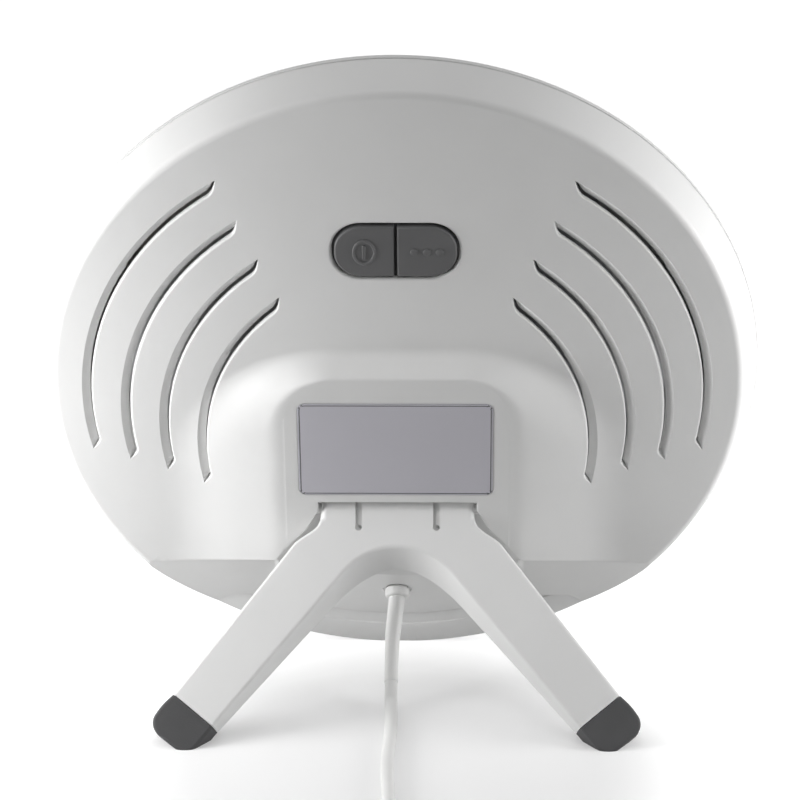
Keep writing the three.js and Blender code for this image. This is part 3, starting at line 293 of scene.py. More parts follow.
def combined(target, *steps):
    """Target after each (how, tool) step in turn; the tools are removed."""
    for how, tool in steps:
        step = target.modifiers.new(how.title(), "BOOLEAN")
        step.operation = how
        step.solver = "MANIFOLD"
        step.object = tool
    made = bpy.data.meshes.new_from_object(target.evaluated_get(bpy.context.evaluated_depsgraph_get()))
    made.name = target.data.name
    target.modifiers.clear()
    target.data = made
    for _, tool in steps:
        bpy.data.objects.remove(tool)
    return target


def cut(target, *tools):
    """Target less each tool."""
    return combined(target, *(("DIFFERENCE", tool) for tool in tools))


def finished(obj, body, slot, material, *nodes, angle=32.0):
    """Smooth shading up to an angle with the flats kept flat, then the body, the finish and the CAD
    nodes that the piece stands for."""
    obj.data.shade_smooth()
    obj.data.set_sharp_from_angle(angle=np.radians(angle))
    keep = obj.modifiers.new("Flat faces", "WEIGHTED_NORMAL")
    keep.keep_sharp = True
    keep.weight = 80
    obj.data.materials.clear()
    obj.data.materials.append(material)
    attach(obj, body)
    if nodes:
        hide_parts(*nodes)
    return obj


def smoothstep(value, low=0.0, high=1.0):
    """3 t^2 - 2 t^3, where t is the value's share of the way from low to high, kept from 0 to 1."""
    t = np.clip((value - low) / (high - low), 0, 1)
    return t * t * (3 - 2 * t)


# Finishes

def node(tree, kind, inputs=None, **settings):
    """A new shader node; each input gets its value, or a link where an output is given."""
    made = tree.nodes.new(kind)
    for name, value in settings.items():
        setattr(made, name, value)
    for key, value in (inputs or {}).items():
        if isinstance(value, bpy.types.NodeSocket):
            tree.links.new(value, made.inputs[key])
        else:
            made.inputs[key].default_value = value
    return made


def finish_nodes(name, colour, roughness, specular=0.5, metallic=0.0):
    """An opaque finish with its constant values on the shader's own sockets."""
    material = bpy.data.materials.get(name) or bpy.data.materials.new(name)
    material.use_nodes = True
    tree = material.node_tree
    tree.nodes.clear()
    shader = node(tree, "ShaderNodeBsdfPrincipled", {
        "Base Color": (*colour, 1), "Roughness": roughness, "Metallic": metallic,
        "Specular IOR Level": specular,
    })
    node(tree, "ShaderNodeOutputMaterial", {"Surface": shader.outputs["BSDF"]})
    return material, tree, shader, node(tree, "ShaderNodeTexCoord").outputs["Object"]


def noise(tree, coordinates, scale, detail=3.0, stretch=None):
    """Noise over the coordinates, which may be stretched along the axes."""
    if stretch:
        mapping = node(tree, "ShaderNodeMapping", {"Vector": coordinates, "Scale": stretch})
        coordinates = mapping.outputs["Vector"]
    made = node(tree, "ShaderNodeTexNoise", {"Vector": coordinates, "Scale": scale, "Detail": detail})
    return made.outputs["Fac"]


NOISE_RANGE = (0.3, 0.7)  # where nearly all of a noise's values lie


def ranged(tree, value, low, high):
    """A noise carried over to the range from low to high."""
    return node(tree, "ShaderNodeMapRange", {
        "Value": value, "From Min": NOISE_RANGE[0], "From Max": NOISE_RANGE[1], "To Min": low, "To Max": high,
    }).outputs["Result"]


def mottled(tree, shader, value, colour, change):
    """Colour that drifts by the given share of itself."""
    ramp = node(tree, "ShaderNodeValToRGB", {"Fac": value})
    for element, position, share in zip(ramp.color_ramp.elements, NOISE_RANGE, (1 - change, 1 + change)):
        element.position = position
        element.color = (*np.clip(np.array(colour) * share, 0, 1), 1)
    tree.links.new(ramp.outputs["Color"], shader.inputs["Base Color"])


def bumped(tree, shader, value, depth):
    """Bumps of the given depth in metres."""
    bump = node(tree, "ShaderNodeBump", {"Height": value, "Distance": depth, "Strength": 1.0})
    tree.links.new(bump.outputs["Normal"], shader.inputs["Normal"])


def moulded(name, colour, roughness=0.42, grain=1400.0, depth=0.00002, change=0.012, specular=0.5):
    """Moulded plastic: a fine spark-eroded grain, a faint drift in colour and in gloss."""
    material, tree, shader, place = finish_nodes(name, colour, roughness, specular)
    mottled(tree, shader, noise(tree, place, 35.0), colour, change)
    gloss = ranged(tree, noise(tree, place, 60.0), roughness - 0.04, roughness + 0.04)
    tree.links.new(gloss, shader.inputs["Roughness"])
    bumped(tree, shader, noise(tree, place, grain, 2.0), depth)
    return material


def metal(name, colour, roughness, stretch, grain=900.0):
    """Rolled or drawn metal: streaks along one way in its gloss and its surface."""
    material, tree, shader, place = finish_nodes(name, colour, roughness, metallic=1.0)
    streaks = noise(tree, place, grain, 3.0, stretch)
    mottled(tree, shader, noise(tree, place, 40.0), colour, 0.04)
    gloss = ranged(tree, streaks, roughness - 0.08, roughness + 0.1)
    tree.links.new(gloss, shader.inputs["Roughness"])
    bumped(tree, shader, streaks, 0.00001)
    return material


FINISHES = {}


def make_finishes(colours):
    """The lamp's finishes by name."""
    FINISHES.update(
        shell=moulded("white_shell", colours.shell, 0.46),
        opal=moulded("opal_diffuser", colours.opal, 0.5, 500.0, 0.00001),
        key=moulded("grey_key", colours.key, 0.55, 2200.0, 0.00002, 0.05, 0.4),
        rubber=moulded("foot_rubber", colours.rubber, 0.7, 1600.0, 0.00004, 0.12, 0.35),
        label=moulded("label_foil", colours.label, 0.38, 700.0, 0.000005, 0.01),
        border=moulded("label_border", (0.06, 0.06, 0.065), 0.45, 700.0, 0.000005),
        lead=moulded("lead_sheath", colours.lead, 0.5, 900.0, 0.000015, 0.02),
        green=moulded("green_solder_mask", (0.012, 0.075, 0.03), 0.35, 260.0, 0.00003, 0.25),
        white_board=moulded("white_solder_mask", (0.78, 0.78, 0.76), 0.35, 260.0, 0.00001, 0.02),
        yellow=moulded("yellow_tape", (0.42, 0.22, 0.02), 0.4, 300.0, 0.00002, 0.08),
        dark=moulded("dark_moulding", (0.012, 0.012, 0.014), 0.45, 1200.0, 0.00002, 0.2),
        aluminium=metal("rolled_aluminium", (0.62, 0.63, 0.64), 0.38, (1, 12, 12)),
        steel=metal("plated_steel", (0.52, 0.53, 0.54), 0.3, (1, 1, 1), 500.0),
    )


# Mains lead

ROUTE = np.array((
    (-2.4, 8.2, 23.96), (-2.6, 5.4, 21), (-2.8, 1.2, 16.6), (-2.9, -2.9, 12.3), (-2.9, -6.7, 9),
    (-2.9, -10.8, 6.3), (-2.9, -15.2, 4.3), (-2.8, -19.9, 3.2), (-2.7, -24.9, 2.8), (-2.6, -31, 2.72),
    (-2.6, -38, 2.7), (-2.8, -49, 2.7), (-3.2, -61, 2.7), (-3.5, -73, 2.7), (-3.2, -86, 2.7),
    (-2.6, -98, 2.7), (-2.2, -111, 2.7), (-2.1, -124, 2.7), (-2.4, -138, 2.7), (-2.6, -152, 2.7),
    (-2.6, -165, 2.7), (-2.6, -178, 2.7),
)) / 1000
TURNS_PER_LAYER = 3.625
STEPS_PER_TURN = 48
TAIL_RUN = 0.036  # from the coil to the plug
TAIL_STEPS = 12
ROUTE_STEPS = 6
BEVEL_STEPS = 6
PLUG_HEIGHT = 0.0136
PLUG_SECTIONS = np.array((
    # along, half width, half height in mm; power
    (0.3, 3.1, 3.1, 2), (4, 3.3, 3.3, 2), (8, 3.5, 3.5, 2), (12, 3.8, 3.8, 2), (15, 4.3, 4.2, 2.1),
    (17.5, 6.2, 5.0, 2.4), (20, 9.4, 6.0, 3), (23, 12.9, 6.6, 3.6), (26, 14.8, 6.8, 4), (30, 15.5, 6.8, 4.2),
    (38, 15.5, 6.8, 4.2), (46, 15.5, 6.8, 4.2), (49.6, 15.4, 6.75, 4.2), (50.7, 14.9, 6.4, 4.2),
    (51.2, 13.9, 5.6, 4.2),
)) / (1000, 1000, 1000, 1)
PIN_PROFILE = np.array((
    # reach along the plug, radius
    (47.6, 2), (52.0, 2), (62.8, 2), (65.8, 2), (66.4, 1.6), (66.7, 0.9), (66.8, 0.3),
)) / 1000
PIN_OFFSET = 0.0093
GLAND_DROP = 0.1042
GLAND_SHIFT = -0.0006
GLAND_PROFILE = np.array((
    # radius, height out of the cover
    (3.0, -6), (4.2, -6), (4.2, -3.7), (6.2, -3.7), (6.2, -2.5), (4.2, -2.5), (4.2, 0.05), (4.9, 0.05),
    (5.15, 0.3), (5.2, 1.2), (5.15, 2.8), (4.9, 3.6), (4.4, 4.0), (3.3, 4.05), (2.0, 4.05),
)) / 1000
GLAND_BORE = np.array(((4.5, -15), (4.5, -0.5), (6.25, -0.5), (6.3, 6))) / 1000
RELIEF_ROOT = np.array(((0, 0, 1), (0, 0, 6), (0, 0, 12))) / 1000
RELIEF_SHIFTS = np.array((0, 0.4, 1)) / 1000
RELIEF_WALL = 0.0002


def smooth_path(points, steps):
    """Catmull-Rom curve: each span between two points is the cubic that passes both with a slope
    of half the difference of their outer neighbours."""
    padded = np.concatenate((2 * points[:1] - points[1:2], points, 2 * points[-1:] - points[-2:-1]))
    t = np.linspace(0, 1, steps, endpoint=False)[None, :, None]
    a, b, c, d = (padded[i:len(padded) - 3 + i, None, :] for i in range(4))
    spans = 0.5 * (2 * b + (c - a) * t + (2 * a - 5 * b + 4 * c - d) * t**2 + (3 * b - 3 * c + d - a) * t**3)
    return np.concatenate((spans.reshape(-1, 3), points[-1:]))


def coil_path(lead):
    """Spiral in on the floor and out again on top: the radius is the inner radius plus the pitch per
    turn times the turns from the middle, and the height rises one pitch in the half turn there."""
    radius = lead.diameter / 2
    growth = lead.coil_pitch / (2 * np.pi)
    half = TURNS_PER_LAYER * 2 * np.pi
    inner = lead.coil_radius - lead.coil_pitch * TURNS_PER_LAYER / 2
    start = ROUTE[-1] - (0, CLEARANCE, 0)
    centre = start - (inner + growth * half, lead.diameter, 0)
    turn = np.linspace(0, 2 * half, round(2 * TURNS_PER_LAYER * STEPS_PER_TURN) + 1)
    reach = inner + growth * np.abs(turn - half)
    height = radius + lead.coil_pitch * smoothstep(turn - half, -np.pi / 2, np.pi / 2)
    return np.stack((centre[0] + reach * np.cos(turn), centre[1] - reach * np.sin(turn), height), -1)


def plug_place(lead):
    """Where the lead leaves the coil, its heading there, and where the plug's tail begins."""
    coil = coil_path(lead)
    heading = coil[-1] - coil[-2]
    heading[2] = 0
    heading /= np.linalg.norm(heading)
    tail = coil[-1] + heading * lead.diameter
    end = tail + heading * (CLEARANCE + TAIL_RUN)
    end[2] = PLUG_HEIGHT / 2
    return coil, tail, heading, end


def lead_path(lead):
    """The whole line of the lead, from the strain relief to the plug."""
    coil, tail, heading, end = plug_place(lead)
    share = np.linspace(0, 1, TAIL_STEPS)[1:, None]
    last = tail + (end - tail) * share
    last[:, 2] = tail[2] + (end[2] - tail[2]) * smoothstep(share[:, 0], 0.1, 0.9)
    return np.concatenate((smooth_path(ROUTE, ROUTE_STEPS), coil, tail[None], last))


def tube(name, path, radii, sides=24):
    """Round tube: each point of the path carries a circle of its own radius, square to the path,
    turned along it with no twist about a level side direction."""
    path = np.asarray(path)
    along = np.gradient(path, axis=0)
    along /= np.linalg.norm(along, axis=1, keepdims=True)
    side = np.cross(along, (1.0, 0.0, 0.0))
    side /= np.linalg.norm(side, axis=1, keepdims=True)
    other = np.cross(along, side)
    angle = np.linspace(0, 2 * np.pi, sides, endpoint=False)[None, :, None]
    ring = side[:, None] * np.cos(angle) + other[:, None] * np.sin(angle)
    return skin(name, path[:, None] + ring * np.asarray(radii)[:, None, None])


def build_lead(lead):
    """The lead is one poly spline with a round bevel."""
    path = lead_path(lead)
    curve = bpy.data.curves.new("mains_lead", "CURVE")
    curve.dimensions = "3D"
    curve.bevel_depth = lead.diameter / 2
    curve.bevel_resolution = BEVEL_STEPS
    curve.use_fill_caps = True
    spline = curve.splines.new("POLY")
    spline.points.add(len(path) - 1)
    spline.points.foreach_set("co", np.column_stack((path, np.ones(len(path)))).ravel())
    spline.use_smooth = True
    obj = placed("mains_lead", curve)
    curve.materials.append(FINISHES["lead"])
    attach(obj, "head")
    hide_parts("mains_cord", "cord_coil", "cord_tail")
    measured = float(np.linalg.norm(np.diff(path, axis=0), axis=1).sum())
    return obj, path, measured


def plug_frame(lead):
    """Function that carries points along, across and above the plug's tail to the world."""
    _, _, heading, end = plug_place(lead)
    axes = np.array((heading, np.cross((0, 0, 1), heading), (0.0, 0.0, 1.0)))
    origin = np.array((end[0], end[1], 0.0))
    return lambda points: origin + np.asarray(points) @ axes


def build_plug(lead):
    """Plug body: sections |y / a|^p + |z / b|^p = 1 along its length, from a round tail to a wide
    rounded block, and two pins with rounded tips."""
    place = plug_frame(lead)
    along, across, upward, power = (column[:, None] for column in PLUG_SECTIONS.T)
    cosine, sine = circle(1.0, steps=64).T
    y = across * np.sign(cosine) * np.abs(cosine) ** (2 / power)
    z = PLUG_HEIGHT / 2 + upward * np.sign(sine) * np.abs(sine) ** (2 / power)
    body = skin("plug_shell", place(np.stack((np.broadcast_to(along, y.shape), y, z), -1)))
    pins = []
    for name, side in (("left", -1), ("right", 1)):
        rings = [circle(radius, (side * PIN_OFFSET, PLUG_HEIGHT / 2)) for _, radius in PIN_PROFILE]
        reach = np.broadcast_to(PIN_PROFILE[:, :1, None], (len(rings), len(rings[0]), 1))
        pin = skin(f"pin_{name}", place(np.concatenate((reach, rings), -1)))
        pins.append(finished(pin, "head", "steel", FINISHES["steel"], f"plug_pin_{name}"))
    finished(body, "head", "cord", FINISHES["lead"], "plug_body", angle=50)
    return [body, *pins]


def underside_slope(head):
    """How much the depth of the round underside grows for each metre nearer to the middle."""
    return (head.cone_depth - head.flange_depth) / (head.cone_foot - head.cone_top)


def in_gland(head):
    """Function that carries points to the world from the gland's axis, square to the round underside."""
    slope = underside_slope(head)
    lean = np.arctan(slope)
    origin = np.array((GLAND_SHIFT, -GLAND_DROP, head.flange_depth + (head.cone_foot - GLAND_DROP) * slope))
    axes = np.array(((1, 0, 0), (0, np.cos(lean), np.sin(lean)), (0, -np.sin(lean), np.cos(lean))))
    return lambda points: in_head(origin + np.asarray(points) @ axes)


def build_gland(head, lead):
    """Collar: a turned profile about the gland's axis. Strain relief: a tube that follows the lead,
    its radius falling evenly from the root to the lead's own size."""
    place = in_gland(head)
    collar = turned("gland_collar", GLAND_PROFILE, place=place, steps=96)
    root = place(RELIEF_ROOT)
    root[:, 0] -= RELIEF_SHIFTS
    path = np.concatenate((root, smooth_path(ROUTE, ROUTE_STEPS)))
    run = np.concatenate(((0,), np.cumsum(np.linalg.norm(np.diff(path, axis=0), axis=1))))
    keep = run < lead.relief_length
    fall = smoothstep(run[keep] / lead.relief_length) ** 1.2
    radii = lead.relief_radius + (lead.diameter / 2 + RELIEF_WALL - lead.relief_radius) * fall
    combined(collar, ("UNION", tube("strain_relief", path[keep], radii)))
    return finished(collar, "head", "cord", FINISHES["lead"], "cord_gland", angle=40)


# Head

HOLLOW_START = -0.001  # just in front of the rim
FOOT_DEPTH = 0.003  # where the cover has its foot's radius
TOOL_TOP, TOOL_DROP, TOOL_SIDE = 0.06, 0.25, 0.2  # reach of the wedges that cut the underside
PAD_SINK = 0.0001
SLOPE_SINK = 0.000005
SLOPE_TOP_SINK = 0.00003
SLOPE_FOOT = 0.004
SLOPE_END_LEAN = 0.79
TOOL_MARGIN = 0.005  # by which cutting tools are wider than what they cut
POLE = 0.0005  # radius of the flat in the middle of a turned tool
FLANGE_EDGE = 0.1418  # radius where the flange's bevel ends
BEVEL_FALL = 0.317
KEYPAD_HOLE = (0.0258, 0.0130, 0.0118)  # half width, half height, corner radius
KEYPAD = (0.0248, 0.0120, 0.0110)
KEY_MIDDLE = 0.0127
KEY_PROUD = 0.0007
KEY_EDGE = 0.0009
KEY_SPLIT = 0.0006
FLANGE_REACH = 0.0017
FLANGE_CORNER = (0.0254, 0.0128)
STEM_RADIUS, STEM_LENGTH = 0.0015, 0.0014
SIGN_SINK = 0.0003
SIGN_RELIEF = 0.0005
SIGN_OVAL = 1.3
DOT_STEP = 0.0052
PLATE_HALF_WIDTH, PLATE_LOW, PLATE_HIGH, PLATE_CORNER = 0.0404, -0.0450, 0.0020, 0.0032
PLATE_SHIFT = 0.0006
PLATE_SEAT = 0.0006
FRAME_EDGE = 0.0014
FRAME_PROFILE = np.array((
    # radius, depth in mm
    (150.0, 2.8), (149.8, 3.0), (141.8, 5.6), (138.1, 5.6), (137.9, 5.5), (137.5, 5.1), (131.0, 5.1),
    (131.0, 2.6), (139.2, 2.6), (139.2, 0.4), (139.6, 0.0),
)) / 1000
DIFFUSER_PROFILE = np.array((
    (1, 0.3), (30, 0.3), (60, 0.3), (90, 0.3), (120, 0.3), (137.5, 0.3), (138.6, 0.4), (138.9, 0.7),
    (138.9, 2.0), (138.6, 2.3), (2, 2.3),
)) / 1000


def back_at(head, points):
    """Depth of the domed back: the middle's depth less a part that grows with the distance squared."""
    far = np.linalg.norm(points, axis=-1) / head.back_radius
    return head.back_depth - (head.back_depth - head.edge_depth) * far**2


def dish_profile(head, inset, depth_of_foot):
    """Dish: a steep straight side, an arc of the shoulder radius, then the shallow dome of the back."""
    side = np.arctan2(head.edge_depth - FOOT_DEPTH, head.cover_radius - head.back_radius)
    dome = np.arctan2(2 * (head.back_depth - head.edge_depth), head.back_radius)
    at = lambda depth: head.cover_radius - inset / np.sin(side) - (depth - FOOT_DEPTH) / np.tan(side)
    edge, radius = head.edge_depth - inset, head.shoulder - inset
    reach = radius * np.tan((side - dome) / 2)
    start = at(edge) - reach * np.cos(dome)
    turn = np.pi / 2 - np.linspace(side, dome, 14)
    arc = np.stack((
        start - radius * np.sin(dome) + radius * np.cos(turn),
        edge + reach * np.sin(dome) - radius * np.cos(dome) + radius * np.sin(turn),
    ), -1)
    ring = start * np.linspace(1, 0.002, 30)[1:]
    flat = np.stack((ring, back_at(head, ring[:, None]) - inset), -1)
    return np.concatenate((((at(depth_of_foot), depth_of_foot),), arc, flat))


def wedge(name, edge_at, low):
    """Cutting tool: everything farther down the disc than the straight line edge_at(depth)."""
    outline = np.array((
        (edge_at(TOOL_TOP), TOOL_TOP), (edge_at(low), low), (-TOOL_DROP, low), (-TOOL_DROP, TOOL_TOP)))
    rows = [np.column_stack((np.full(4, x), outline)) for x in (-TOOL_SIDE, TOOL_SIDE)]
    return skin(name, in_head(rows))


def facet_tool(head, inset):
    """Everything outside the slanted plane under the head."""
    slope = np.arctan2(head.crease_depth - head.flange_depth, head.facet_drop - head.crease_drop)
    crease = inset / np.sin(slope) - head.crease_drop
    return wedge("facet_tool", lambda depth: crease - (head.crease_depth - depth) / np.tan(slope), -0.03)


def pad_solid(head, inset):
    """Pad: rounded outlines that draw in by the blend's width while the depth rises by a smooth
    step, kept inside the round underside."""
    share = np.linspace(0, 1, 14)
    grow = head.pad_blend * (1 - share) - inset
    outlines = np.array([
        rounded_box(head.pad_half_width + g, -head.rim_radius, head.pad_top + g, head.pad_corner + g, 16)
        for g in (grow[0], *grow)
    ])
    foot = back_at(head, outlines) - inset - PAD_SINK
    depth = foot + (head.pad_depth - inset - foot) * smoothstep(np.array((0, *share)))[:, None]
    depth[0] = 0
    pad = stacked("pad", outlines, depth)
    slope = underside_slope(head)
    shift = inset / np.sin(np.arctan(slope))
    radius = lambda depth: head.cone_foot - shift - (depth - head.flange_depth) / slope
    ends = (HOLLOW_START, head.pad_depth + TOOL_MARGIN)
    cone = turned("cone", [(radius(depth), depth) for depth in ends])
    return combined(pad, ("INTERSECT", cone))


def slope_rise(share):
    """Share of the rise from the back to the pad: the sum of a slope that grows, holds and falls again."""
    table = np.linspace(0, 1, 200)
    steep = smoothstep(table, 0, 0.5) * (1 - smoothstep(table, 0.84, 1.0)) + 0.002
    rise = np.concatenate(((0,), np.cumsum((steep[1:] + steep[:-1]) / 2)))
    return np.interp(share, table, rise / rise[-1])


def slope_corner(head, share):
    """Radii and centre of the elliptical corner that is the given share of the slope outside the pad."""
    share = np.asarray(share)[..., None]
    radii = head.pad_corner + share * (head.slope_width, head.slope_top + head.slope_fall)
    inner = np.array((head.pad_half_width, head.pad_top)) - head.pad_corner
    centre = inner - share * (0, head.slope_fall)
    return radii, centre


def slope_outline(head, share):
    """Outline round the pad, the given share of the slope's width outside the pad's flat."""
    radii, centre = slope_corner(head, share)
    high_x, high_y = centre + radii
    return sides_split(rounded_box(high_x, -head.rim_radius, high_y, radii, 20), 40)


def surface_at(head, points):
    """Depth of the back with the slope on it; the share at a point is found by halving."""
    place = np.stack((np.abs(points[..., 0]), points[..., 1]), -1)
    low, high = np.zeros(place.shape[:-1]), np.ones(place.shape[:-1])
    for _ in range(24):
        middle = (low + high) / 2
        radii, centre = slope_corner(head, middle)
        outside = ((np.maximum(place - centre, 0) / radii) ** 2).sum(-1) > 1
        low, high = np.where(outside, middle, low), np.where(outside, high, middle)
    back = back_at(head, points)
    return back + (head.pad_depth - back) * slope_rise(1 - high)


def slope_solid(head):
    """Long slope from the back up to the pad; below the crease it ends on a plane."""
    shares = np.linspace(0, 1, 48)
    outlines = np.array([slope_outline(head, share) for share in (1, *shares[::-1])])
    foot = back_at(head, outlines) - SLOPE_SINK
    rise = slope_rise(np.array((0, *shares)))[:, None]
    depth = foot + (head.pad_depth - SLOPE_TOP_SINK - foot) * rise
    depth[0] = SLOPE_FOOT
    edge = lambda depth: -head.crease_drop + (depth - head.crease_depth) * SLOPE_END_LEAN
    return cut(stacked("slope", outlines, depth), wedge("slope_end", edge, SLOPE_FOOT - 0.001))


RECESS_HEADROOM = 0.0014
RECESS_GAP = 0.0008
FRONT_ARCH_TOP = 0.0168
BACK_ARCH_TOP = 0.0256
BACK_ARCH_START = 0.052  # where the back arch meets the leg, along it
BACK_INSETS = (0.0054, 0.0025)  # of the leg's back at the arch and at the foot cap
ARCH_STEP = 0.005
FLARE_LEAD, FLARE_TURN = 0.0055, 0.0062  # how far the flare's curve goes straight on at its ends
BOSS_GAP = 0.0012
BOSS_EDGE = 0.0028


def leg_point(along, across, side=1):
    """Plan place on a leg: along it from the hinge, across it from the line through the middle."""
    along, across = np.asarray(along), np.asarray(across)
    return np.stack((
        side * (along * np.sin(SPLAY) + across * np.cos(SPLAY)),
        across * np.sin(SPLAY) - along * np.cos(SPLAY),
    ), -1)


def stand_outline(stand, border):
    """Outline of the folded stand in the head's plane, grown by the border."""
    across = stand.width_top + border
    corner = stand.hub_half_width + border
    flare_drop = 2 * stand.knuckle
    flare = (flare_drop * np.sin(SPLAY) + across) / np.cos(SPLAY)
    top = stand.knuckle + RECESS_HEADROOM + border
    half = np.array(((corner, top), (corner, 0.002), (flare, -flare_drop), leg_point(stand.leg_end, across)))
    return np.concatenate((half * (-1, 1), half[::-1])) - (0, HINGE_DROP)


def quadratic(start, bend, end, t):
    """(1 - t)^2 start + 2 t (1 - t) bend + t^2 end."""
    t = np.asarray(t)[:, None]
    return (1 - t) ** 2 * start + 2 * t * (1 - t) * bend + t**2 * end


def flare_curve(stand, t):
    """Outer edge beside the plate: the cubic that leaves the plate's side downwards and joins the
    leg's edge along it."""
    t = np.asarray(t)[:, None]
    side = np.array((stand.hub_half_width, -stand.knuckle))
    turn = side - (0, FLARE_TURN)
    start = leg_point(stand.flare_end - FLARE_LEAD, stand.width_top)
    end = leg_point(stand.flare_end, stand.width_top)
    return (1 - t) ** 3 * side + 3 * t * (1 - t) ** 2 * turn + 3 * t**2 * (1 - t) * start + t**3 * end


def arch(top, along, inset_at, t):
    """Half arch: the parabola that leaves the middle level and meets the leg's line along it."""
    end = leg_point(along, inset_at(along))
    before = leg_point(along - ARCH_STEP, inset_at(along - ARCH_STEP))
    steps = (-top - end[1]) / (before[1] - end[1])
    bend = np.array((end[0] + (before[0] - end[0]) * steps, -top))
    return quadratic(np.array((0, -top)), bend, end, t)


def back_inset(stand, along):
    """Inset of the leg's back, which falls evenly from the arch to the foot cap; outwards is positive."""
    share = (along - BACK_ARCH_START) / (stand.cap_start - BACK_ARCH_START)
    return -BACK_INSETS[0] - (BACK_INSETS[1] - BACK_INSETS[0]) * share


def back_arch(stand, t):
    """Half arch of the stand's back."""
    return arch(BACK_ARCH_TOP, BACK_ARCH_START, lambda along: back_inset(stand, along), t)


def boss_tool(stand, head):
    """Arched boss in the recess: the outline inside the back arch, with a rounded upper edge."""
    half = back_arch(stand, np.linspace(0, 1, 25))
    insets, drops = rounded_top(BOSS_EDGE, 8)
    outlines = []
    for inset in (0.0, *insets):
        shrink = BOSS_GAP + inset
        right = np.column_stack((np.maximum(half[:, 0] - shrink, 0), half[:, 1] - HINGE_DROP - shrink))
        right = np.concatenate((right, right[-1:] + (0.005, -0.005)))
        left = right[:0:-1] * (-1, 1)
        outlines.append(np.concatenate((left, right))[::-1])
    return stacked("boss", outlines, (0.0, *(head.cone_depth - drops)))


VENT_ENDS = np.array((
    # top tip x, y; foot tip x, y; arc radius
    (0.0719, 0.1029, 0.1275, -0.0312, 0.1255),
    (0.0476, 0.0475, 0.0813, -0.0464, 0.0935),
))
VENT_WEBS = (0.38, None, 0.355, 0.36)  # where a web crosses the slit; None for a groove without a slit
VENT_WIDTHS = (0.0046, 0.0038)  # at the top and at the foot
VENT_TIPS = (0.0075, 0.0045)  # lengths of the pointed ends
VENT_DEPTH = 0.0027
GROOVE_SLIT, GROOVE_DEPTH, GROOVE_LIP = 0.28, 0.0028, 0.0011
SLIT_WIDTH, SLIT_FOOT_WIDTH, SLIT_NARROWING, SLIT_LIP = 0.0012, 0.0008, 0.0005, 0.0008
WEB_STEP, WEB_WIDTH = 0.003, 0.006
TIP_CROWDING = 0.06
RIB_DEPTH = 0.0040
RIB_OVERCUT = 0.0006
RIB_WALL = 0.0013
RIB_WIDTH = 0.0034


def vent_line(number, side):
    """Outer edge of a vent: an arc through its two tips; its points, its inward direction and how far
    each point is from either tip."""
    top_x, top_y, foot_x, foot_y, radius = VENT_ENDS[0] + (VENT_ENDS[1] - VENT_ENDS[0]) * number / 3
    top, foot = np.array((top_x, top_y)), np.array((foot_x, foot_y))
    chord = foot - top
    half = np.linalg.norm(chord) / 2
    angle = np.arctan2(chord[1], chord[0])
    back = np.sqrt(radius**2 - half**2)
    centre = (top + foot) / 2 + back * np.array((np.sin(angle), -np.cos(angle)))
    spread = np.arcsin(half / radius)
    share = np.linspace(0, 1, 96)
    share = share - TIP_CROWDING * np.sin(2 * np.pi * share) / (2 * np.pi)
    turn = angle + np.pi / 2 + spread - 2 * spread * share
    inward = -np.stack((side * np.cos(turn), np.sin(turn)), -1)
    line = centre * (side, 1) - radius * inward
    length = 2 * spread * radius
    return line, inward, share, length


def swept(name, head, line, inward, across, rise):
    """Closed sweep: each point of the line carries the section (across, rise) inwards and out of the back."""
    plan = line[:, None] + inward[:, None] * across[..., None]
    depth = surface_at(head, plan) + rise
    return skin(name, in_head(np.concatenate((plan, depth[..., None]), -1)))


def vent_tool(head, number, side):
    """Vent: the section is a steep slanted wall from the outer edge down to a slit beside the inner wall,
    whose mouth rounds outwards; both ends run out to a point, and a web crosses the slit."""
    line, inward, share, length = vent_line(number, side)
    run = np.clip(length * share / VENT_TIPS[0], 0, 1)
    rest = np.clip(length * (1 - share) / VENT_TIPS[1], 0, 1)
    taper = np.minimum(1 - (1 - run) ** 2, 1 - (1 - rest) ** 1.6)
    width = (VENT_WIDTHS[0] + (VENT_WIDTHS[1] - VENT_WIDTHS[0]) * share) * np.maximum(taper, 0.03)
    small = np.clip(taper * 1.5, 0.12, 1)
    floor = VENT_DEPTH * small
    web = VENT_WEBS[number]
    if web is None:
        slit, deep, lip = width * GROOVE_SLIT, GROOVE_DEPTH * small, GROOVE_LIP * small
    else:
        after = smoothstep(share, web - WEB_STEP, web + WEB_STEP)
        notch = np.exp(-((share - web) / WEB_WIDTH) ** 2)
        slit = SLIT_WIDTH * (1 - after) + (SLIT_FOOT_WIDTH - SLIT_NARROWING * share) * after
        slit = np.minimum(slit * (1 - 0.8 * notch), width * 0.6)
        deep = np.full_like(width, RIB_DEPTH + RIB_OVERCUT)
        lip = SLIT_LIP * small
    growth, drop = rounded_top(1.0, 6)
    zero = np.zeros_like(width)
    across = [zero, zero, width - slit, width - slit * 0.98, width]
    rise = [zero + SURFACE_MARGIN, zero, -floor, -deep, -deep]
    for g, d in zip(growth, drop):
        across.append(width + lip * g)
        rise.append(-lip * d)
    across.append(width + lip)
    rise.append(zero + SURFACE_MARGIN)
    return swept(f"vent_{number}_{side}", head, line, inward, np.stack(across, 1), np.stack(rise, 1))


def vent_rib(head, number, side):
    """Thickened wall behind a vent."""
    line, inward, _, _ = vent_line(number, side)
    across = np.broadcast_to((-RIB_WALL, RIB_WIDTH, RIB_WIDTH, -RIB_WALL), (len(line), 4))
    rise = np.broadcast_to((0.001, 0.001, -RIB_DEPTH, -RIB_DEPTH), (len(line), 4))
    return swept(f"rib_{number}_{side}", head, line, inward, across, rise)


def keypad_outline(head, sizes, grow):
    """Rounded box about the keys' middle: half width, half height and corner radius, grown."""
    half_width, half_height, corner = np.array(sizes) + grow
    middle = head.keypad_height
    return rounded_box(half_width, middle - half_height, middle + half_height, corner, 14)


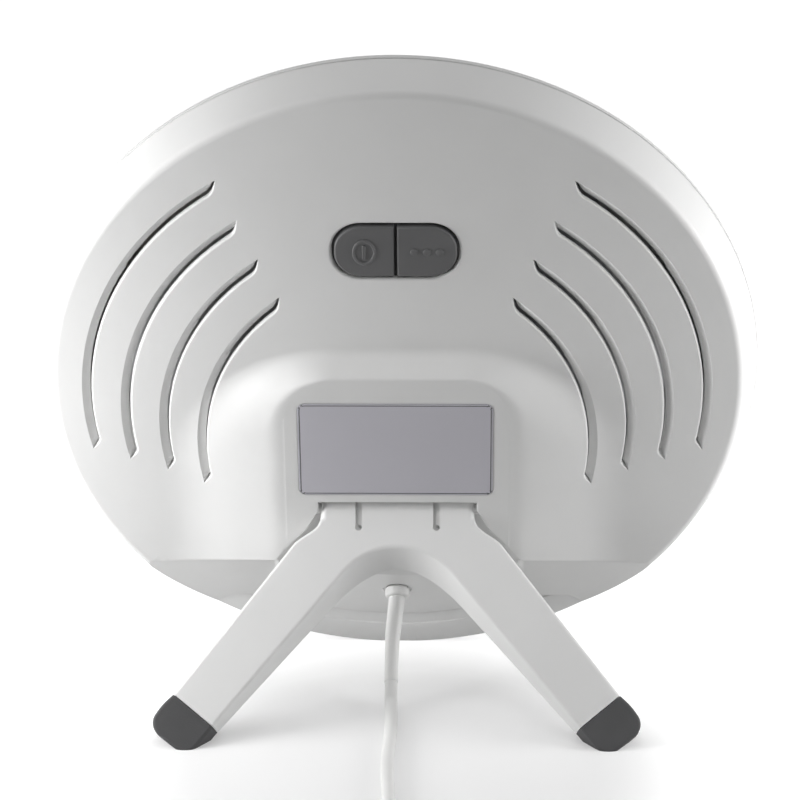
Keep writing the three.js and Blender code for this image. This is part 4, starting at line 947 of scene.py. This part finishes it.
def plate_outline(grow):
    """Rounded box of the rating plate, grown."""
    box = rounded_box(PLATE_HALF_WIDTH + grow, PLATE_LOW - grow, PLATE_HIGH + grow, PLATE_CORNER + grow, 10)
    return box - (PLATE_SHIFT, 0)


def frame_room(head):
    """Room in the cover for the front frame."""
    margin, gap_depth = TOOL_MARGIN, head.flange_depth + CLEARANCE
    return turned("frame_room", (
        (POLE, -margin), (head.rim_radius + margin, -margin),
        (head.rim_radius + margin, FOOT_DEPTH + CLEARANCE - margin * BEVEL_FALL),
        (FLANGE_EDGE, gap_depth), (POLE, gap_depth),
    ))


def build_cover(head, stand):
    """Rear cover: the dish less the slanted underside, joined to the slope and the pad, then hollowed
    and opened."""
    cover = turned("rear_cover_shell", dish_profile(head, 0.0, 0.0))
    combined(cover, ("DIFFERENCE", facet_tool(head, 0.0)), ("UNION", slope_solid(head)),
             ("UNION", pad_solid(head, 0.0)))
    hollow = turned("hollow", dish_profile(head, head.wall, HOLLOW_START))
    combined(hollow, ("DIFFERENCE", facet_tool(head, head.wall)), ("UNION", pad_solid(head, head.wall)))
    walls = slab("walls", stand_outline(stand, TOOL_MARGIN), head.recess_depth - head.wall, 0.08)
    vents = [(number, side) for side in (-1, 1) for number in range(4)]
    cut(hollow, walls, *(vent_rib(head, *vent) for vent in vents))
    recess = flared("recess", lambda g: stand_outline(stand, RECESS_GAP + g), head.recess_depth,
                    lambda outlines: np.full(outlines.shape[:2], head.pad_depth), 0.0006)
    cut(recess, boss_tool(stand, head))
    keypad = flared("keypad", lambda g: keypad_outline(head, KEYPAD_HOLE, g), head.back_depth - 0.008,
                    lambda outlines: back_at(head, outlines), head.lip)
    bore = turned("gland_bore", GLAND_BORE, place=in_gland(head), steps=64)
    seat = slab("plate_seat", plate_outline(CLEARANCE),
                head.pad_depth - PLATE_SEAT, head.pad_depth + TOOL_MARGIN)
    cut(cover, hollow, recess, frame_room(head), bore, keypad, seat,
        *(vent_tool(head, *vent) for vent in vents))
    return finished(cover, "head", "shell", FINISHES["shell"], "rear_cover", angle=28)


def below_floor():
    """Cutting tool: everything below the floor."""
    corners = np.array(((-1, -1), (1, -1), (1, 1), (-1, 1)))
    return slab("below_floor", corners, -0.05, 0.0, np.asarray)


def build_frame(head):
    """Front frame: a turned ring with rounded rim edges and the stepped flange behind."""
    inset, depth = rounded_top(FRAME_EDGE, 8)
    rim = np.stack((head.rim_radius - inset, depth), -1)[::-1]
    ring = turned("front_ring", np.concatenate((rim, FRAME_PROFILE)), ring=True)
    cut(ring, below_floor())
    return finished(ring, "head", "shell", FINISHES["shell"], "front_frame")


def build_diffuser():
    """Diffuser: a flat turned disc with rounded edges."""
    disc = turned("diffuser_disc", DIFFUSER_PROFILE)
    return finished(disc, "head", "opal", FINISHES["opal"], "diffuser")


def key_outline(head, side, grow):
    """Half of the keypad's outline, cut square at the split."""
    whole = keypad_outline(head, KEYPAD, grow)
    right = whole[whole[:, 0] > 0]
    low, high = right[:, 1].min(), right[:, 1].max()
    split = KEY_SPLIT - grow
    order = np.argsort(np.arctan2(right[:, 1] - head.keypad_height, right[:, 0] - split))
    points = np.concatenate((((split, low),), right[order], ((split, high),)))
    return points * (side, 1)


def power_sign(head, middle, top):
    """Raised oval ring, a turned profile stretched up the disc, and a bar in it."""
    height = head.keypad_height
    half = SIGN_RELIEF * 0.5
    rim = ((0.0036, -SIGN_SINK), (0.0048, -SIGN_SINK), (0.0048, half), (0.0045, SIGN_RELIEF),
           (0.0039, SIGN_RELIEF), (0.0036, half))
    ring = turned("sign_ring", rim, ring=True, steps=64,
                  place=lambda points: in_head(points * (1, SIGN_OVAL, 1) + (middle, height, top)))
    bars = [rounded_box(0.0008 - i, -0.0034 + i, 0.0034 - i, 0.0006 - i, 6) for i in (0.0, 0.0, 0.0002)]
    rises = np.array((-SIGN_SINK, half, SIGN_RELIEF))
    return [ring, stacked("sign_bar", np.array(bars) + (middle, height), top + rises)]


def dot_sign(head, middle, top):
    """Three low round dots in a row."""
    rises = top + SIGN_RELIEF * np.array((-SIGN_SINK / SIGN_RELIEF, 0.3, 0.75, 1.0, 1.05))
    return [
        stacked("dot", [circle(radius, (middle + shift, head.keypad_height))
                        for radius in (0.0017, 0.0017, 0.0015, 0.0010, 0.0004)], rises)
        for shift in (-DOT_STEP, 0.0, DOT_STEP)
    ]


def build_key(head, side, name, body, node_name):
    """Key: a half stadium with a rounded top edge, a flange behind the cover, a stem and a raised sign."""
    height = head.keypad_height
    middle = side * KEY_MIDDLE
    top = back_at(head, np.array((0, height))) + KEY_PROUD
    corner = np.array(FLANGE_CORNER) + (0, height)
    under = back_at(head, corner) - head.wall - CLEARANCE - KEY_EDGE
    insets, drops = rounded_top(KEY_EDGE, 7)
    key = stacked(name, [key_outline(head, side, -i) for i in (0.0, *insets)], (under, *(top - drops)))
    flange = slab("flange", key_outline(head, side, FLANGE_REACH), under, under + KEY_EDGE)
    stem = slab("stem", circle(STEM_RADIUS, (middle, height)), under - STEM_LENGTH, under + 0.0005)
    sign = (power_sign if side < 0 else dot_sign)(head, middle, top)
    combined(key, *(("UNION", tool) for tool in (flange, stem, *sign)))
    return finished(key, body, "key_grey", FINISHES["key"], node_name)


def build_plate(head):
    """Rating plate: a thin slab with a rounded edge; the faces between two inner outlines are the border."""
    base = head.pad_depth - CLEARANCE
    grows = (0.0, 0.0, -0.00012, -0.0006, -0.00105, -0.002)
    rises = np.array((0.0, 0.0004, 0.0005, 0.0005, 0.0005, 0.0005))
    plate = stacked("rating_foil", [plate_outline(g) for g in grows], base + rises)
    finished(plate, "head", "label_foil", FINISHES["label"], "rating_plate")
    plate.data.materials.append(FINISHES["border"])
    middle = np.empty(len(plate.data.polygons) * 3)
    plate.data.polygons.foreach_get("center", middle)
    local = (middle.reshape(-1, 3) - RIM_CENTRE) @ HEAD_AXES.T
    half = np.array((PLATE_HALF_WIDTH, (PLATE_HIGH - PLATE_LOW) / 2))
    away = np.abs(local[:, :2] - (-PLATE_SHIFT, (PLATE_HIGH + PLATE_LOW) / 2))
    edge = (half - away).min(-1)
    on_top = local[:, 2] > base + 0.00048
    index = (on_top & (edge > 0.0005) & (edge < 0.0011)).astype(np.int32)
    plate.data.polygons.foreach_set("material_index", index)
    return plate


# Stand

def corners_rounded(sections, radii, steps=7):
    """Sections (s, 4, 3) with each corner replaced by a quadratic curve that starts and ends at its
    radius from the corner."""
    before = np.roll(sections, 1, axis=1) - sections
    after = np.roll(sections, -1, axis=1) - sections
    radii = np.asarray(radii)[..., None]
    start = sections + before / np.linalg.norm(before, axis=-1, keepdims=True) * radii
    end = sections + after / np.linalg.norm(after, axis=-1, keepdims=True) * radii
    t = np.linspace(0, 1, steps)[None, None, :, None]
    curve = (1 - t) ** 2 * start[:, :, None] + 2 * t * (1 - t) * sections[:, :, None] + t**2 * end[:, :, None]
    return curve.reshape(len(sections), -1, 3)


PLATE_SHARE = 3 / 7  # share of the arch that lies under the plate
PLATE_STEPS, FLARE_STEPS, LEG_STEPS = 13, 40, 20
REAR_PACE = 0.81  # how fast the back's sections move down the leg
HUB_ROUND = 0.0042
ARCH_ROUNDS = (0.0014, 0.001)  # of the arch's front and back edges
TRUNNION_RADIUS, TRUNNION_REACH = 0.0022, 0.003
SLIT_HALF_WIDTH, SLIT_GROOVE = 0.0013, 0.0013
HOLE_RADIUS = 0.0014
CAP_CORNER, CAP_BULGE, CAP_EDGE, CAP_LEAN = 0.0065, 0.0007, 0.0012, 0.0025


def stand_sections(stand):
    """Half of the stand, from the middle over the plate to the leg's end: each section has its outer
    side on the top edge, the flare or the leg, and its inner side on the arch or the leg."""
    share = np.concatenate((
        np.linspace(0, PLATE_SHARE, PLATE_STEPS + 1), np.linspace(PLATE_SHARE, 1, FLARE_STEPS)[1:]))
    hub, rise = stand.hub_half_width, stand.knuckle
    across = np.minimum(share[:PLATE_STEPS] / PLATE_SHARE * hub * 1.012, hub)
    edge = np.column_stack((across, np.full(PLATE_STEPS, rise)))
    edge[-1] = (hub - 0.0004, rise - 0.0001)
    flare = flare_curve(stand, (share[PLATE_STEPS:] - PLATE_SHARE) / (1 - PLATE_SHARE))
    legs = np.linspace(stand.leg_start, stand.cap_start, LEG_STEPS)[1:]
    down = (legs - stand.leg_start) / (stand.cap_start - stand.leg_start)
    outer_legs = stand.flare_end + down * (stand.cap_start - stand.flare_end)
    width = stand.width_top + (stand.width_end - stand.width_top) * down
    outer = np.concatenate((edge, flare, leg_point(outer_legs, width)))
    front = np.concatenate((
        arch(FRONT_ARCH_TOP, stand.leg_start, lambda along: 0.0, share),
        leg_point(legs, np.zeros_like(legs)),
    ))
    rear_legs = np.maximum(legs, BACK_ARCH_START + (legs - stand.leg_start) * REAR_PACE)
    rear = np.concatenate((back_arch(stand, share), leg_point(rear_legs, back_inset(stand, rear_legs))))
    faces = ((outer, stand.front), (front, stand.front), (rear, -stand.back), (outer, -stand.back))
    return np.stack([np.column_stack((plan, np.full(len(plan), z))) for plan, z in faces], 1)


def slit_tools(stand, side):
    """Cutting tools of a spring slit: a shallow groove, a narrow slot through, and a round hole."""
    place = side * stand.slit_offset
    slit = rounded_box(SLIT_HALF_WIDTH, -stand.slit_end + 0.0006, 0.012, 0.0012, 8) + (place, 0)
    slot = slit.copy()
    slot[:, 0] = np.clip(slot[:, 0], place - SLIT_HALF_WIDTH, place - 0.0002)
    hole = circle(HOLE_RADIUS, (place, -stand.slit_end + 0.0016))
    return (
        slab("slit", slit, stand.front - SLIT_GROOVE, 0.01, in_stand),
        slab("slot", slot, -0.01, 0.01, in_stand),
        slab("hole", hole, -0.01, 0.01, in_stand),
    )


def build_stand(stand):
    """Stand: sections with rounded corners from the left foot over the plate to the right foot, with
    the hinge's trunnions and two spring slits that end in round holes."""
    right = stand_sections(stand)
    count = len(right)
    edge = HUB_ROUND - (HUB_ROUND - stand.edge) * smoothstep(np.arange(count), 11, 18)
    radii = np.stack((edge, *(np.full(count, radius) for radius in ARCH_ROUNDS), edge), 1)
    half = corners_rounded(right, radii)
    left = half[:0:-1] * (-1, 1, 1)
    body = skin("stand_frame", in_stand(np.concatenate((left, half))))
    pin = circle(TRUNNION_RADIUS)
    reach = stand.hub_half_width + TRUNNION_REACH
    rows = [np.column_stack((np.full(len(pin), x), pin)) for x in (-reach, reach)]
    tools = [tool for side in (-1, 1) for tool in slit_tools(stand, side)]
    combined(body, ("UNION", skin("trunnion", in_stand(rows))), *(("DIFFERENCE", tool) for tool in tools))
    return finished(body, "leg_stand", "shell", FINISHES["shell"], "stand", angle=30)


def cap_outline(stand, side, low, inset):
    """Outline of a foot cap: a side that bulges by a part of a sine, and two rounded corners."""
    start, end, radius = stand.cap_start + CLEARANCE, stand.leg_end, CAP_CORNER
    share = np.linspace(0, 1, 10)
    bulge = stand.width_end + CAP_BULGE * np.sin(np.pi * np.clip(share * 0.75, 0, 1))
    top = np.column_stack((start + (end - radius - start) * share, bulge - inset))
    turn = np.linspace(0, np.pi / 2, 12)
    wide, tall = (radius - inset) * np.sin(turn), (radius - inset) * np.cos(turn)
    first = np.column_stack((end - radius + wide, bulge[-1] - radius + tall))
    second = np.column_stack((end - radius + tall, low + radius - wide))
    points = np.concatenate((top, first[1:], second, ((start, low + inset),)))
    return leg_point(np.maximum(points[:, 0], start), points[:, 1], side)


def build_cap(stand, side, name, node_name):
    """Foot cap: the leg's end with two rounded corners, bulging a little on its outer side, its edges
    rounded, and cut level with the floor."""
    insets, drops = rounded_top(CAP_EDGE, 6)
    rise = np.concatenate((-stand.back + drops[::-1], stand.front - drops))
    low = -CAP_LEAN * (stand.front - rise) / (stand.front + stand.back)
    outlines = [cap_outline(stand, side, *pair) for pair in zip(low, (*insets[::-1], *insets))]
    cap = stacked(name, outlines, rise, in_stand)
    cut(cap, below_floor())
    return finished(cap, "leg_stand", "foot_rubber", FINISHES["rubber"], node_name)


# Stage

def aim(obj, place, target, up=(0, 0, 1)):
    """Put a light or camera at its place, looking at the target."""
    back = (Vector(place) - Vector(target)).normalized()
    right = Vector(up).cross(back).normalized()
    turn = Matrix((right, back.cross(right), back)).transposed().to_4x4()
    obj.matrix_world = Matrix.Translation(place) @ turn


def beside_head(turn, rise, distance):
    """Place at a distance from the rim's middle: turned in the disc's plane, risen out of its back."""
    turn, rise = np.radians((turn, rise))
    level = np.cos(rise)
    return in_head(distance * np.array((np.cos(turn) * level, np.sin(turn) * level, np.sin(rise))))


def softbox(name, place, width, power):
    """Square area light that looks at the rim's middle."""
    light = bpy.data.lights.new(name, "AREA")
    light.size = width
    light.energy = power
    aim(placed(name, light), place, RIM_CENTRE)


def seen_directly(tree):
    """1 for camera, glossy and transmission rays."""
    path = node(tree, "ShaderNodeLightPath").outputs
    value = path["Is Camera Ray"]
    for other in ("Is Glossy Ray", "Is Transmission Ray"):
        value = node(tree, "ShaderNodeMath", {0: value, 1: path[other]}, operation="MAXIMUM").outputs["Value"]
    return value


def build_camera():
    """Camera at the photograph's angle."""
    camera = bpy.data.cameras.new("camera")
    camera.lens = 173.97
    camera.sensor_width = 36
    camera.clip_start = 0.05
    camera.clip_end = 50
    obj = placed("camera", camera)
    place = Vector((0.0259, -1.49325, 0.72058))
    aim(obj, place, place + Vector((-0.0154, 0.9308, -0.3653)), up=(-0.0021, 0.3653, 0.9309))
    bpy.context.scene.camera = obj


def build_floor(colours, stage):
    """Floor that keeps the shadow; where it is seen directly it glows with painted light, weakest round the
    shadow's middle and up to white away from there, so a darker patch is painted round the lamp and shadows
    farther off are painted out.
    """
    mesh = mesh_of("floor", ((-4, -4, 0), (4, -4, 0), (4, 6, 0), (-4, 6, 0)), ((0, 1, 2, 3),))
    floor = placed("floor", mesh)
    material, tree, shader, place = finish_nodes("studio_floor", colours.floor, 0.9, 0.1)
    shift = node(tree, "ShaderNodeVectorMath", {0: place, 1: (0, stage.shadow_place, 0)}, operation="ADD")
    far = node(tree, "ShaderNodeVectorMath", {0: shift.outputs["Vector"]}, operation="LENGTH")
    lift = node(tree, "ShaderNodeMapRange", {
        "Value": far.outputs["Value"], "From Min": stage.white_start, "From Max": stage.white_end,
        "To Min": stage.floor_lift, "To Max": 1.0,
    }, interpolation_type="SMOOTHSTEP")
    seen = {0: seen_directly(tree), 1: lift.outputs["Result"]}
    gain = node(tree, "ShaderNodeMath", seen, operation="MULTIPLY")
    glow = node(tree, "ShaderNodeEmission", {"Strength": gain.outputs["Value"]})
    both = node(tree, "ShaderNodeAddShader", {0: shader.outputs["BSDF"], 1: glow.outputs["Emission"]})
    output = next(n for n in tree.nodes if n.type == "OUTPUT_MATERIAL")
    tree.links.new(both.outputs["Shader"], output.inputs["Surface"])
    mesh.materials.append(material)


SOFTBOXES = {
    # turn and rise in degrees, distance and width in metres
    "left": (176, 16, 0.36, 0.15),
    "right": (4, 5, 0.45, 0.22),
    "top": (90, 3, 1.00, 0.60),
    "upper_left": (140, 10, 0.45, 0.25),
    "upper_right": (40, 10, 0.45, 0.25),
}


def build_world(stage):
    """Room that is white where it is seen directly and lights the lamp only faintly."""
    world = bpy.data.worlds.new("room")
    bpy.context.scene.world = world
    world.use_nodes = True
    tree = world.node_tree
    tree.nodes.clear()
    light, white = (
        node(tree, "ShaderNodeBackground", {"Color": (1, 1, 1, 1), "Strength": strength})
        for strength in (stage.ambient, 1.0)
    )
    mix = node(tree, "ShaderNodeMixShader", {
        "Fac": seen_directly(tree), 1: light.outputs["Background"], 2: white.outputs["Background"],
    })
    node(tree, "ShaderNodeOutputWorld", {"Surface": mix.outputs["Shader"]})


# Operators

class LAMP_OT_camera(Operator):
    """Add the camera at the photograph's viewing angle"""
    bl_idname = "lamp.camera"
    bl_label = "Camera"

    def execute(self, context):
        build_camera()
        return {"FINISHED"}


class LAMP_OT_finishes(Operator):
    """Make the lamp's finishes"""
    bl_idname = "lamp.finishes"
    bl_label = "Finishes"

    def execute(self, context):
        make_finishes(context.scene.lamp_colours)
        return {"FINISHED"}


class LAMP_OT_lead(Operator):
    """Add the mains lead with its coil and plug"""
    bl_idname = "lamp.lead"
    bl_label = "Mains lead"

    def execute(self, context):
        lead = context.scene.lamp_lead
        cord, path, measured = build_lead(lead)
        plug = build_plug(lead)
        return {"FINISHED"}


class LAMP_OT_gland(Operator):
    """Add the cord gland with its tapered strain relief"""
    bl_idname = "lamp.gland"
    bl_label = "Cord gland"

    def execute(self, context):
        build_gland(context.scene.lamp_head, context.scene.lamp_lead)
        return {"FINISHED"}


class LAMP_OT_front(Operator):
    """Add the front frame and the diffuser"""
    bl_idname = "lamp.front"
    bl_label = "Front frame and diffuser"

    def execute(self, context):
        build_frame(context.scene.lamp_head)
        build_diffuser()
        return {"FINISHED"}


class LAMP_OT_cover(Operator):
    """Add the rear cover with its vents, pad and recesses"""
    bl_idname = "lamp.cover"
    bl_label = "Rear cover"

    def execute(self, context):
        build_cover(context.scene.lamp_head, context.scene.lamp_stand)
        return {"FINISHED"}


class LAMP_OT_keys(Operator):
    """Add the power key and the colour key"""
    bl_idname = "lamp.keys"
    bl_label = "Keys"

    def execute(self, context):
        head = context.scene.lamp_head
        build_key(head, -1, "power_cap", "power_button", "power_key")
        build_key(head, 1, "colour_cap", "colour_button", "colour_key")
        return {"FINISHED"}


class LAMP_OT_plate(Operator):
    """Add the bare rating plate"""
    bl_idname = "lamp.plate"
    bl_label = "Rating plate"

    def execute(self, context):
        build_plate(context.scene.lamp_head)
        return {"FINISHED"}


class LAMP_OT_stand(Operator):
    """Add the folding stand"""
    bl_idname = "lamp.stand"
    bl_label = "Stand"

    def execute(self, context):
        build_stand(context.scene.lamp_stand)
        return {"FINISHED"}


class LAMP_OT_feet(Operator):
    """Add the rubber foot caps"""
    bl_idname = "lamp.feet"
    bl_label = "Foot caps"

    def execute(self, context):
        stand = context.scene.lamp_stand
        build_cap(stand, -1, "foot_rubber_left", "foot_cap_left")
        build_cap(stand, 1, "foot_rubber_right", "foot_cap_right")
        return {"FINISHED"}


INNER_FINISHES = {
    "white_board": ("reflector_ring", "led_board", "terminal_block", "key_ribbon"),
    "aluminium": ("heat_plate",),
    "green": ("driver_board", "key_board"),
    "yellow": ("transformer", "film_capacitor"),
    "dark": ("smoothing_capacitor", "power_switch", "colour_switch", "led_lead"),
    "lead": ("inner_mains_lead",),
    "steel": tuple(f"{kind}_screw_{i}" for kind in ("heat_plate", "driver") for i in (1, 2, 3, 4)),
}


class LAMP_OT_inside(Operator):
    """Give the pieces inside the head their finishes"""
    bl_idname = "lamp.inside"
    bl_label = "Inner pieces"

    def execute(self, context):
        for finish, nodes in INNER_FINISHES.items():
            for node in nodes:
                mesh = frame["nodes"][node].data
                mesh.materials.clear()
                mesh.materials.append(FINISHES[finish])
        return {"FINISHED"}


class LAMP_OT_stage(Operator):
    """Add the floor, the room and the studio lights"""
    bl_idname = "lamp.stage"
    bl_label = "Stage"

    def execute(self, context):
        stage = context.scene.lamp_stage
        context.scene.view_settings.view_transform = "Standard"
        build_floor(context.scene.lamp_colours, stage)
        build_world(stage)
        for name, (turn, rise, distance, width) in SOFTBOXES.items():
            power = getattr(stage, f"{name}_power")
            softbox(f"{name}_softbox", beside_head(turn, rise, distance), width, power)
        return {"FINISHED"}


class LAMP_PT_panel(Panel):
    """Lists the lamp's pieces"""
    bl_idname = "LAMP_PT_panel"
    bl_label = "Light Therapy Lamp"
    bl_space_type = "VIEW_3D"
    bl_region_type = "UI"
    bl_category = "Lamp"

    def draw(self, context):
        for operator in OPERATORS:
            self.layout.operator(operator.bl_idname)


OPERATORS = (
    LAMP_OT_camera, LAMP_OT_finishes, LAMP_OT_lead, LAMP_OT_gland, LAMP_OT_front, LAMP_OT_cover,
    LAMP_OT_keys, LAMP_OT_plate, LAMP_OT_stand, LAMP_OT_feet, LAMP_OT_inside, LAMP_OT_stage,
)
GROUPS = {
    "lamp_head": LampHeadSizes,
    "lamp_stand": LampStandSizes,
    "lamp_lead": LampLeadSizes,
    "lamp_colours": LampColours,
    "lamp_stage": LampStage,
}
CLASSES = (*GROUPS.values(), *OPERATORS, LAMP_PT_panel)


def register():
    for item in CLASSES:
        bpy.utils.register_class(item)
    for name, group in GROUPS.items():
        setattr(bpy.types.Scene, name, PointerProperty(type=group))


def unregister():
    for name in GROUPS:
        delattr(bpy.types.Scene, name)
    for item in reversed(CLASSES):
        bpy.utils.unregister_class(item)


def main():
    register()
    for operator in OPERATORS:
        getattr(bpy.ops.lamp, operator.bl_idname.split(".")[1])()


if __name__ == "__main__":
    main()
